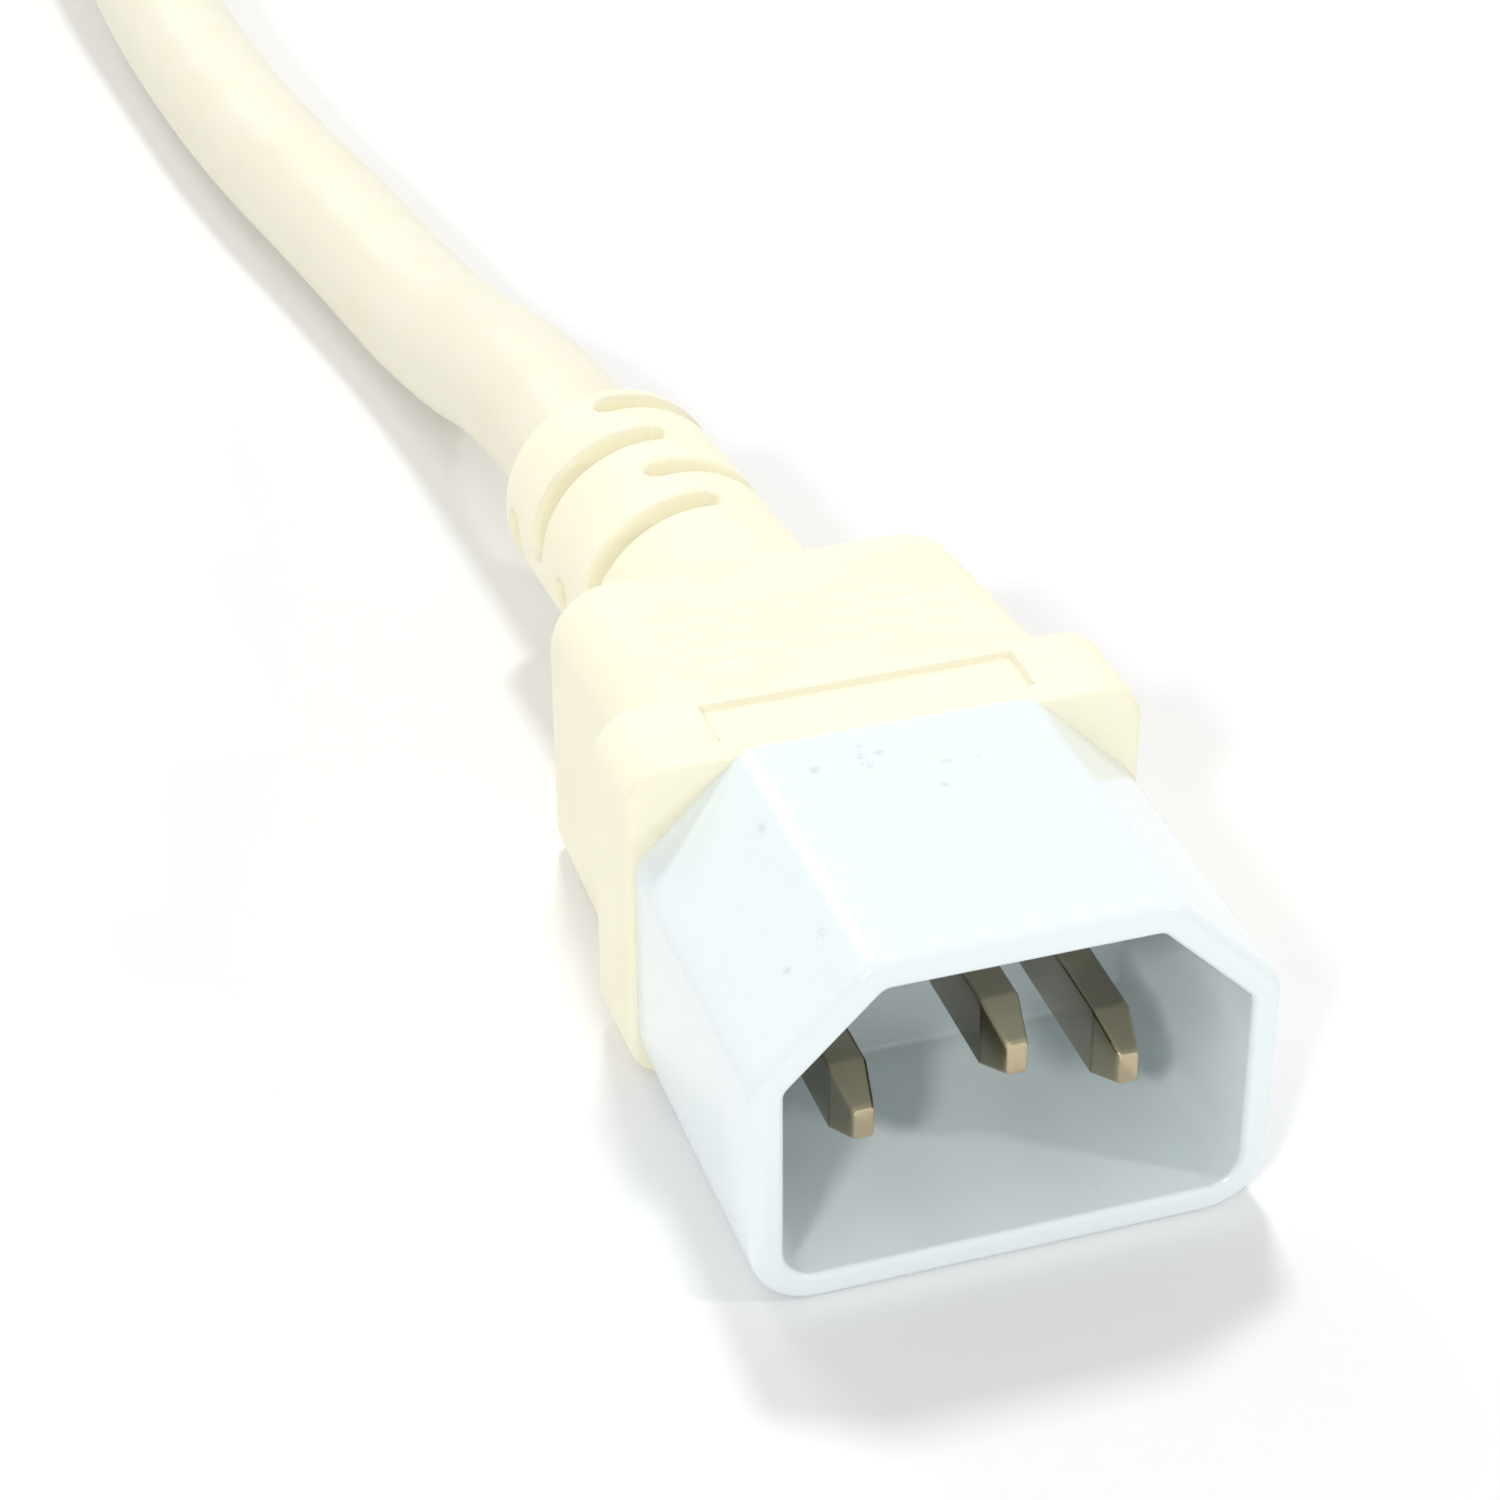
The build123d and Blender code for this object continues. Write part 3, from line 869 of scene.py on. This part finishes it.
@dataclass(frozen=True)
class MatingOutline:
    """The six-sided outline of the plug's mouth, in millimetres."""

    width: float = 24.2
    height: float = 16.6
    chamfer: float = 5.0
    low_round: float = 1.8
    top_round: float = 0.8

    def points(self, inset: float = 0.0) -> list[Flat]:
        """The outline moved inwards.

        Args:
            inset: By how much.

        Returns:
            Its points.
        """
        half = self.width / 2 - inset
        top = self.height / 2 - inset
        cut = self.chamfer - inset * (2 - math.sqrt(2))
        low = max(self.low_round - inset, LEAST_ROUND)
        high = max(self.top_round - inset, LEAST_ROUND)
        foot = [Corner(-half, -top, low), Corner(half, -top, low)]
        right = [Corner(half, top - cut, high), Corner(half - cut, top, high)]
        left = [Corner(cut - half, top, high), Corner(-half, top - cut, high)]
        return rounded(foot + right + left, per_corner=10, per_side=14)


@dataclass(frozen=True)
class Grip:
    """Flange and tapering body, heights counted from the mouth's middle, in millimetres."""

    TOP_SIDE: ClassVar[int] = 2
    flange_w: float = 28.4
    flange_low: float = -10.0
    flange_high: float = 9.6
    flange_t: float = 6.2
    flange_round: float = 2.4
    flange_edge: float = 0.5
    flange_face: float = 3.0
    flange_tail: float = 0.9
    body_w: float = 24.6
    body_w_back: float = 24.2
    body_low: float = -9.7
    body_high: float = 9.3
    body_high_back: float = 7.2
    body_len: float = 17.2
    body_round: float = 3.6
    body_low_round: float = 1.4
    end_round: float = 1.6
    cell: float = 0.2
    label_half: float = 8.7
    label_from: float = 1.6
    label_to: float = 5.1
    label_deep: float = 0.35
    label_above: float = 9.0
    label_beside: tuple[float, ...] = (11.0, 10.0, 9.2)
    label_steps: int = 12
    wall: float = 0.22
    lip: float = 0.14
    ridges: tuple[float, ...] = (10.2, 12.2, 14.2, 16.2)
    ridge_high: float = 0.11
    ridge_reach: float = 0.35
    ridge_end: float = 0.9
    ridge_half: float = 8.3
    ridge_above: float = 6.0
    ridge_least: float = 0.35
    # Shares of painted shade on the recess's walls, its left lip and the faint lines.
    wall_shade: float = 0.5
    lip_shade: float = 0.4
    ridge_shade: float = 0.3
    steep: float = 0.9
    hair: float = 0.01

    def top_stations(self) -> list[float]:
        """Places of the points along the top side, close together at the recess.

        Returns:
            The places, right to left, from 0 to 1.
        """
        half = self.flange_w / 2 - self.flange_round
        inner, steps = self.label_half - self.wall, self.label_steps
        right = [*self.label_beside, self.label_half + self.lip, self.label_half, inner]
        floor = [inner - inner * k / steps for k in range(1, 2 * steps)]
        xs = right + floor + [-x for x in reversed(right)]
        return [(half - x) / (2 * half) for x in xs]

    def section(self, width: float, low: float, high: float, rounds: Flat) -> list[Flat]:
        """The points of one cross-section, with the radii of its lower and its upper corners."""
        corners = box_corners(width, low, high, *rounds)
        stations = {self.TOP_SIDE: self.top_stations()}
        return rounded(corners, per_corner=8, per_side=10, stations=stations)

    def flange_section(self, inset: float) -> list[Flat]:
        """The flange's section, set back by inset at the sides and half as much at top and foot."""
        low, high = self.flange_low + inset / 2, self.flange_high - inset / 2
        rounds = (self.flange_round, self.flange_round)
        return self.section(self.flange_w - 2 * inset, low, high, rounds)

    def body_section(self, share: float, inset: float = 0.0) -> list[Flat]:
        """The body's section.

        Args:
            share: Where it is cut, as a share of the body's length.
            inset: How far it is set back on every side.

        Returns:
            Its points.
        """
        width = self.body_w + (self.body_w_back - self.body_w) * share - 2 * inset
        high = self.body_high + (self.body_high_back - self.body_high) * share - inset
        rounds = (max(self.body_low_round - inset, LEAST_ROUND), self.body_round - inset / 2)
        return self.section(width, self.body_low + inset, high, rounds)

    def ridge(self, depth: float) -> float:
        """How far the faint moulded lines on top of the body stand up at a depth."""
        nearest = min(abs(depth - place) for place in self.ridges)
        return self.ridge_high * max(0.0, 1 - nearest / self.ridge_reach)

    def recess_rows(self) -> list[tuple[float, list[Flat]]]:
        """The flange's sections across the label recess.

        Returns:
            For each section, how far it lies behind the flange's face, and its points.
        """
        plain = self.flange_section(0.0)
        floor_half, above = self.label_half - self.wall / 2, self.label_above
        sunk = [(x, y - self.label_deep if y > above and abs(x) < floor_half else y) for x, y in plain]
        first, last = self.label_from, self.label_to
        return [
            (first - self.lip, plain),
            (first, plain),
            (first + self.wall, sunk),
            (last - self.wall, sunk),
            (last, plain),
            (self.flange_t - self.flange_tail, plain),
        ]

    def body_row(self, depth: float) -> list[Flat]:
        """The body's section with the faint lines on its top.

        Args:
            depth: How far it lies behind the flange.

        Returns:
            Its points.
        """
        lift = self.ridge(depth + self.flange_t)
        row = self.body_section(depth / self.body_len)
        top = max(y for _, y in row) - self.hair
        half = max(x for x, _ in row) - self.body_round - self.ridge_end
        return [(x, y + lift if y > top and abs(x) < half else y) for x, y in row]

    def build(self, name: str, mouth: Mouth, reach: float) -> Piece:
        """Make flange and body behind a mouth.

        Args:
            name: The new piece's name.
            mouth: The mating face.
            reach: From the mouth to the flange.

        Returns:
            The piece.
        """
        skin = Skin(mouth.at)
        skin.ring(self.flange_section(self.flange_face), reach)
        for back, along in edge_steps(self.flange_edge):
            skin.ring(self.flange_section(back), reach + along)
        for along, row in self.recess_rows():
            skin.ring(row, reach + along)
        body_from = reach + self.flange_t
        for back, along in reversed(edge_steps(self.flange_edge)):
            skin.ring(self.flange_section(back), body_from - along)
        straight = self.body_len - self.end_round
        steps = int(straight / self.cell)
        for k in range(steps + 1):
            depth = straight * k / steps
            skin.ring(self.body_row(depth), body_from + depth)
        for back, along in reversed(edge_steps(self.end_round)[:-1]):
            share = (self.body_len - along) / self.body_len
            skin.ring(self.body_section(share, back), body_from + self.body_len - along)
        piece = skin.build(name)
        self.mark(piece.data, mouth, reach)
        return piece

    def mark(self, mesh: bpy.types.Mesh, mouth: Mouth, reach: float) -> None:
        """Mark the recess's walls and left lip and the faint lines for painted shade, which the finish
        darkens.

        Args:
            mesh: The finished mesh.
            mouth: The mating face.
            reach: From the mouth to the flange.
        """
        marks = mesh.attributes.new(SHADE_MASK, "FLOAT", "FACE")
        ends = (self.label_from, self.label_to)
        low, high = sorted(mouth.at(0.0, 0.0, reach + end).y for end in ends)
        left = mouth.x - self.label_half
        for face, mark in zip(mesh.polygons, marks.data):
            x, y, z = face.center
            across = abs(x - mouth.x * MM)
            on_flange = low < y < high and z > (mouth.z + self.label_above) * MM
            back = (y / MM - mouth.y) * mouth.into - reach
            on_top = z > (mouth.z + self.ridge_above) * MM and abs(x / MM - mouth.x) < self.ridge_half
            if on_flange and across < self.label_half * MM and face.normal.z < self.steep:
                mark.value = self.wall_shade
            elif on_flange and -self.lip < x / MM - left < 0.0:
                mark.value = self.lip_shade
            elif on_top and self.ridge(back) > self.ridge_least * self.ridge_high:
                mark.value = self.ridge_shade


# ---- plug ----


@dataclass(frozen=True)
class Plug:
    """The hooded plug at the head of the lead, in millimetres."""

    mouth: Mouth = Mouth(0.0, -22.5, 10.0, 1)
    outline: MatingOutline = MatingOutline()
    grip: Grip = Grip()
    sleeve: Sleeve = Sleeve(23.745, 14.0, 13.6, 1.8, cell=0.14)
    hood_depth: float = 16.0
    hood_reach: float = 19.4
    hood_wall: float = 1.65
    rim_round: float = 0.7
    rim_inner_round: float = 0.35
    floor_round: float = 0.4
    neck_to: float = 22.4
    hood_sharp_deg: float = 50.0
    relief_ends: tuple[Point, Point] = ((-0.6, 20.3, 10.0), (-2.0007, 44.0, 9.5995))
    pin_w: float = 2.0
    pin_h: float = 4.0
    pin_tip_w: float = 1.15
    pin_tip_h: float = 1.9
    pin_lead: float = 2.6
    pin_shoulder: float = 0.06
    pin_shoulder_drop: Flat = (0.02, 0.04)
    pin_edge: float = 0.26
    pin_back: float = 27.4
    pin_sharp_deg: float = 17.0
    tip_rows: tuple[Point, ...] = (
        (0.0, 0.44, 0.44), (0.02, 0.24, 0.24), (0.08, 0.1, 0.1), (0.18, 0.01, 0.0), (0.3, -0.06, -0.12),
    )
    spots: dict[Pole, Point] = field(
        default_factory=lambda: {
            Pole.LINE: (7.0, -2.0, 3.0),
            Pole.NEUTRAL: (-7.0, -2.0, 3.0),
            Pole.EARTH: (0.0, 2.0, 0.7),
        }
    )

    def hood(self) -> Piece:
        """The hard hood with its rounded rim, inside walls, floor and neck.

        Returns:
            The piece.
        """
        skin = Skin(self.mouth.at)
        inside, outside = self.outline.points(0.0), self.outline.points(-self.hood_wall)
        skin.ring(inside, self.neck_to)
        skin.ring(inside, self.hood_reach)
        for share in (1.0, 0.75, 0.5, 0.25):
            skin.ring(outside, self.hood_reach * share)
        for back, along in reversed(edge_steps(self.rim_round, steps=8)):
            skin.ring(self.outline.points(back - self.hood_wall), along)
        for back, along in edge_steps(self.rim_inner_round):
            skin.ring(self.outline.points(-back), along)
        for share in (0.25, 0.5, 0.75):
            skin.ring(inside, self.hood_depth * share)
        for back, along in reversed(edge_steps(self.floor_round, steps=5)):
            skin.ring(self.outline.points(back), self.hood_depth - along)
        return skin.build("plug_hood", self.hood_sharp_deg)

    def pin(self, pole: Pole) -> Piece:
        """One flat pin with its tapered tip.

        Args:
            pole: Which pin.

        Returns:
            The piece.
        """
        across, up, tip = self.spots[pole]
        skin = Skin(lambda x, y, depth: self.mouth.at(across + x, up + y, depth))
        shoulder, (drop_w, drop_h) = self.pin_shoulder, self.pin_shoulder_drop
        rows = [(along, self.pin_tip_w - w, self.pin_tip_h - h) for along, w, h in self.tip_rows]
        rows.append((self.pin_lead - shoulder, self.pin_w - drop_w, self.pin_h - drop_h))
        for along in (self.pin_lead, self.pin_lead + shoulder, self.pin_back - tip):
            rows.append((along, self.pin_w, self.pin_h))
        for along, width, height in rows:
            corners = box_corners(width, -height / 2, height / 2, self.pin_edge, self.pin_edge)
            skin.ring(rounded(corners, per_corner=8, per_side=4), tip + along)
        return skin.build(f"plug_pin_{pole.value}", self.pin_sharp_deg)

    def build(self, shop: Workshop) -> None:
        """Make and dress every piece of the plug.

        Args:
            shop: The workshop.
        """
        dress(self.hood(), shop.coats[shop.finishes.insert.name], "insert", "plug_insert")
        for pole in Pole:
            dress(self.pin(pole), shop.coats[shop.finishes.pin.name], "pin", f"plug_{pole.value}_pin")
        shop.soft(self.grip.build("plug_grip", self.mouth, self.hood_reach), "plug_overmould")
        shop.relief(self.sleeve, "plug_relief", self.relief_ends, "plug_overmould")


# ---- sockets ----


@dataclass(frozen=True)
class Socket:
    """One appliance socket at the end of a tail, in millimetres."""

    tail: Tail
    mouth: Mouth
    outline: MatingOutline = MatingOutline()
    grip: Grip = Grip()
    sleeve: Sleeve = Sleeve(20.0, 12.4, 10.6, 1.2)
    nose_len: float = 16.6
    nose_clear: float = 0.35
    nose_wall: float = 1.4
    nose_root: float = 0.5
    nose_edge: float = 0.5
    nose_inner_edge: float = 0.2
    nose_sharp_deg: float = 50.0

    def nose(self) -> Piece:
        """The soft nose around the insert, open in front.

        Returns:
            The piece.
        """
        skin = Skin(self.mouth.at)
        outer, inner = self.nose_clear, self.nose_clear + self.nose_wall
        skin.ring(self.outline.points(outer), self.nose_len + self.nose_root)
        skin.ring(self.outline.points(outer), self.nose_len / 2)
        for back, along in reversed(edge_steps(self.nose_edge)):
            skin.ring(self.outline.points(outer + back), along)
        for back, along in edge_steps(self.nose_inner_edge, steps=3):
            skin.ring(self.outline.points(inner - back), along)
        skin.ring(self.outline.points(inner), self.nose_len / 2)
        skin.ring(self.outline.points(inner), self.nose_len)
        return skin.build(f"socket_{self.tail.value}_nose", self.nose_sharp_deg)

    def build(self, shop: Workshop) -> None:
        """Make and dress the socket's soft pieces.

        Args:
            shop: The workshop.
        """
        name = f"socket_{self.tail.value}"
        node = f"{name}_overmould"
        shop.soft(self.nose(), node)
        shop.soft(self.grip.build(f"{name}_grip", self.mouth, self.nose_len), node)
        base_y = self.mouth.y - (self.nose_len + self.grip.flange_t + self.grip.body_len)
        base = (self.mouth.x, base_y, self.mouth.z)
        tip = (self.mouth.x, base_y - self.sleeve.length, self.mouth.z)
        shop.relief(self.sleeve, f"{name}_relief", (base, tip), node)


# ---- Y block ----


@dataclass(frozen=True)
class YBlock:
    """The moulded block where the trunk splits into two tails, in millimetres."""

    x: float = -13.2
    front: float = 192.0
    z: float = 7.5
    length: float = 36.0
    width_front: float = 20.0
    width_back: float = 28.0
    height: float = 15.0
    corner: float = 3.0
    end_round: float = 2.4
    end_steps: int = 8
    middle_steps: int = 12
    tail_shift: float = 6.8
    trunk_sleeve: Sleeve = Sleeve(20.0, 14.0, 12.4, 1.2, root=2.9)
    tail_sleeve: Sleeve = Sleeve(20.0, 12.4, 10.6, 1.2, root=2.9)

    def section(self, depth: float, inset: float) -> list[Flat]:
        """One cross-section of the block.

        Args:
            depth: How far behind the front it lies.
            inset: How far it is set back on every side.

        Returns:
            Its points.
        """
        share = depth / self.length
        width = self.width_front + (self.width_back - self.width_front) * share - 2 * inset
        half = self.height / 2 - inset
        radius = self.corner - inset / 2
        corners = box_corners(width, -half, half, radius, radius)
        return rounded(corners, per_corner=10, per_side=12)

    def shell(self) -> Piece:
        """The block itself, widening towards the tails, with all its edges rounded.

        Returns:
            The piece.
        """
        skin = Skin(lambda a, b, depth: Vector((self.x + a, self.front + depth, self.z + b)) * MM)
        ends = edge_steps(self.end_round, self.end_steps)
        middle = self.length - 2 * self.end_round
        cuts = [(along, back) for back, along in ends]
        for step in range(1, self.middle_steps):
            cuts.append((self.end_round + middle * step / self.middle_steps, 0.0))
        cuts += [(self.length - along, back) for back, along in reversed(ends)]
        for depth, inset in cuts:
            skin.ring(self.section(depth, inset), depth)
        return skin.build("y_block_shell")

    def build(self, shop: Workshop) -> None:
        """Make and dress the block and its three strain reliefs.

        Args:
            shop: The workshop.
        """
        node = "splitter_body"
        shop.soft(self.shell(), node)
        ahead = (self.x, self.front - self.trunk_sleeve.length, self.z)
        ends = ((self.x, self.front, self.z), ahead)
        shop.relief(self.trunk_sleeve, "y_block_relief_trunk", ends, node)
        back = self.front + self.length
        for tail, shift in ((Tail.A, -self.tail_shift), (Tail.B, self.tail_shift)):
            x = self.x + shift
            ends = ((x, back, self.z), (x, back + self.tail_sleeve.length, self.z))
            shop.relief(self.tail_sleeve, f"y_block_relief_{tail.value}", ends, node)


# ---- cords ----


@dataclass(frozen=True)
class Cord:
    """One round cord: its route in metres, its real length and its diameter."""

    name: str
    length: float
    diameter: float
    route: tuple[Point, ...]
    order: int = 3
    steps: int = 24
    around: int = 14

    def build(self, material: Material) -> None:
        """Args:
            material: What it is made of.
        """
        curve = bpy.data.curves.new(self.name, "CURVE")
        curve.dimensions = "3D"
        spline = curve.splines.new("NURBS")
        spline.points.add(len(self.route) - 1)
        for point, place in zip(spline.points, self.route):
            point.co = (*place, 1.0)
        spline.order_u = self.order
        spline.use_endpoint_u = True
        spline.resolution_u = self.steps
        curve.bevel_depth = self.diameter / 2
        curve.bevel_resolution = self.around
        curve.use_fill_caps = True
        piece = bpy.data.objects.new(self.name, curve)
        bpy.context.scene.collection.objects.link(piece)
        dress(piece, material, "jacket", f"{self.name}_cord")


CORDS = (
    Cord("trunk", 0.1293, 0.0092, (
        (-0.0020007, 0.044, 0.0095995), (-0.0027985, 0.0575, 0.0093713), (-0.0044, 0.074, 0.0047),
        (-0.007, 0.093, 0.0047), (-0.0106, 0.114, 0.0047), (-0.0124, 0.138, 0.0047),
        (-0.0132, 0.156, 0.0075), (-0.0132, 0.172, 0.0075),
    )),
    Cord("tail_a", 0.1179, 0.0072, (
        (-0.02, 0.248, 0.0075), (-0.02, 0.261, 0.0075), (-0.0216, 0.278, 0.0037), (-0.0275, 0.302, 0.0037),
        (-0.031, 0.327, 0.0037), (-0.0296, 0.35, 0.01), (-0.0296, 0.364, 0.01),
    )),
    Cord("tail_b", 0.1229, 0.0072, (
        (-0.0064, 0.248, 0.0075), (-0.0064, 0.261, 0.0075), (-0.005, 0.279, 0.0037), (0.0009, 0.304, 0.0037),
        (0.0049, 0.33, 0.0037), (0.0028, 0.354, 0.01), (0.0028, 0.369, 0.01),
    )),
)


# ---- studio ----


@dataclass(frozen=True)
class Lamp:
    """A soft square lamp that looks at the origin: where it hangs, its side and its power."""

    name: str
    place: Point
    side: float
    watts: float

    def build(self) -> None:
        """Hang the lamp."""
        light = bpy.data.lights.new(self.name, "AREA")
        light.shape = "SQUARE"
        light.size = self.side
        light.energy = self.watts
        lamp = bpy.data.objects.new(self.name, light)
        lamp.location = self.place
        lamp.visible_camera = False
        lamp.rotation_euler = (-Vector(self.place)).to_track_quat("-Z", "Y").to_euler()
        bpy.context.scene.collection.objects.link(lamp)


@dataclass(frozen=True)
class Studio:
    """Camera, floor, world and lamps, in metres but for the floor's patch of light."""

    eye: Point = (-0.056116, -0.154485, 0.124307)
    yaw_deg: float = 17.8017
    pitch_deg: float = -33.3101
    roll_deg: float = -0.3232
    lens_mm: float = 90.102
    sensor_mm: float = 36.0
    clip: float = 0.01
    floor_half: float = 3.0
    floor_tone: Colour = (0.92, 0.92, 0.92, 1.0)
    dust_tone: Colour = (0.84, 0.84, 0.86, 1.0)
    dust: Noise = Noise(18.0, 2.0, 0.5, (0.3, 0.8))
    dust_tint: float = 0.04
    lit_about: Point = (0.0, 200.0, 0.0)
    lit_solid: float = 700.0
    lit_reach: float = 1500.0
    world_level: float = 0.51
    seen_level: float = 1.0
    lamps: tuple[Lamp, ...] = (
        Lamp("key", (0.285, 1.0, 1.96), 0.3, 16.2),
        Lamp("fill", (-0.72, -0.92, 0.82), 0.15, 6.3),
        Lamp("side", (1.05, -0.74, 0.79), 0.1, 3.8),
        Lamp("back", (-0.39, 1.36, 1.03), 0.42, 3.6),
    )

    def camera(self) -> None:
        """Set the camera up as the photograph was taken."""
        yaw, pitch, roll = (math.radians(v) for v in (self.yaw_deg, self.pitch_deg, self.roll_deg))
        data = bpy.data.cameras.new("camera")
        data.lens = self.lens_mm
        data.sensor_width = self.sensor_mm
        data.clip_start = self.clip
        camera = bpy.data.objects.new("camera", data)
        turns = ((-yaw, "Z"), (QUARTER + pitch, "X"), (roll, "Z"))
        heading, tilt, lean = (Matrix.Rotation(angle, 4, axis) for angle, axis in turns)
        camera.matrix_world = Matrix.Translation(self.eye) @ heading @ tilt @ lean
        bpy.context.scene.collection.objects.link(camera)
        bpy.context.scene.camera = camera

    def floor(self) -> None:
        """Lay the pale floor, which turns plain white far from the lead."""
        bm = bmesh.new()
        ways = ((-1, -1), (1, -1), (1, 1), (-1, 1))
        bm.faces.new([bm.verts.new((x * self.floor_half, y * self.floor_half, 0.0)) for x, y in ways])
        floor = placed("floor", bm)
        paint = Paint("white_floor")
        tone = paint.blend(paint.noise(self.dust) * self.dust_tint, self.floor_tone, self.dust_tone)
        lit = paint.near(self.lit_about, self.lit_reach, self.lit_solid)
        floor.data.materials.append(
            paint.finish(
                Base_Color=paint.blend(lit, BLACK, tone),
                Roughness=0.85,
                Specular_IOR_Level=0.1,
                Emission_Color=paint.blend(lit, WHITE, BLACK),
                Emission_Strength=1.0,
            )
        )

    def world(self) -> None:
        """Light the room evenly, and let the camera and reflections see white."""
        world = bpy.data.worlds.new("room")
        world.use_nodes = True
        world.node_tree.nodes.clear()
        graph = Graph(world.node_tree)
        path = graph.node("ShaderNodeLightPath")
        seen = Signal(graph, path.outputs["Is Camera Ray"])
        for ray in ("Is Glossy Ray", "Is Transmission Ray"):
            seen = seen.most(Signal(graph, path.outputs[ray]))
        level = seen * (self.seen_level - self.world_level) + self.world_level
        back = graph.node("ShaderNodeBackground", inputs={"Color": WHITE, "Strength": level})
        graph.node("ShaderNodeOutputWorld", inputs={"Surface": back.outputs[0]})
        bpy.context.scene.world = world
        bpy.context.scene.view_settings.view_transform = "Standard"

    def build(self) -> None:
        """Set everything up."""
        self.camera()
        self.floor()
        self.world()
        for lamp in self.lamps:
            lamp.build()


# ---- the carried-over CAD nodes ----


def paint_nodes(shop: Workshop) -> None:
    """Give every CAD node its material.

    Args:
        shop: The workshop.
    """
    finishes = shop.finishes
    words = {"_contact": finishes.contact, "_splice": finishes.splice}
    words |= {f"_{pole.value}_core": finishes.sleeves[pole] for pole in Pole}
    words |= {"_insert": finishes.insert, "_pin": finishes.pin, "_cord": finishes.jacket}
    words |= {"_overmould": finishes.moulding, "_body": finishes.moulding}
    for name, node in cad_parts.items():
        coat = next(shop.coats[finish.name] for word, finish in words.items() if word in name)
        for slot in node.material_slots:
            slot.material = coat
        LOG.info("painted %s with %s", name, coat.name)


def main() -> None:
    """Build the studio, the cords, the plug, the block and the sockets, in that order."""
    logging.basicConfig(level=logging.INFO, format="%(name)s: %(message)s")
    shop = Workshop()
    Studio().build()
    for cord in CORDS:
        cord.build(shop.coats[shop.finishes.jacket.name])
    paint_nodes(shop)
    Plug().build(shop)
    YBlock().build(shop)
    Socket(Tail.A, Mouth(-29.6, 424.0, 10.0, -1)).build(shop)
    Socket(Tail.B, Mouth(2.8, 429.0, 10.0, -1)).build(shop)


if __name__ == "__main__":
    main()
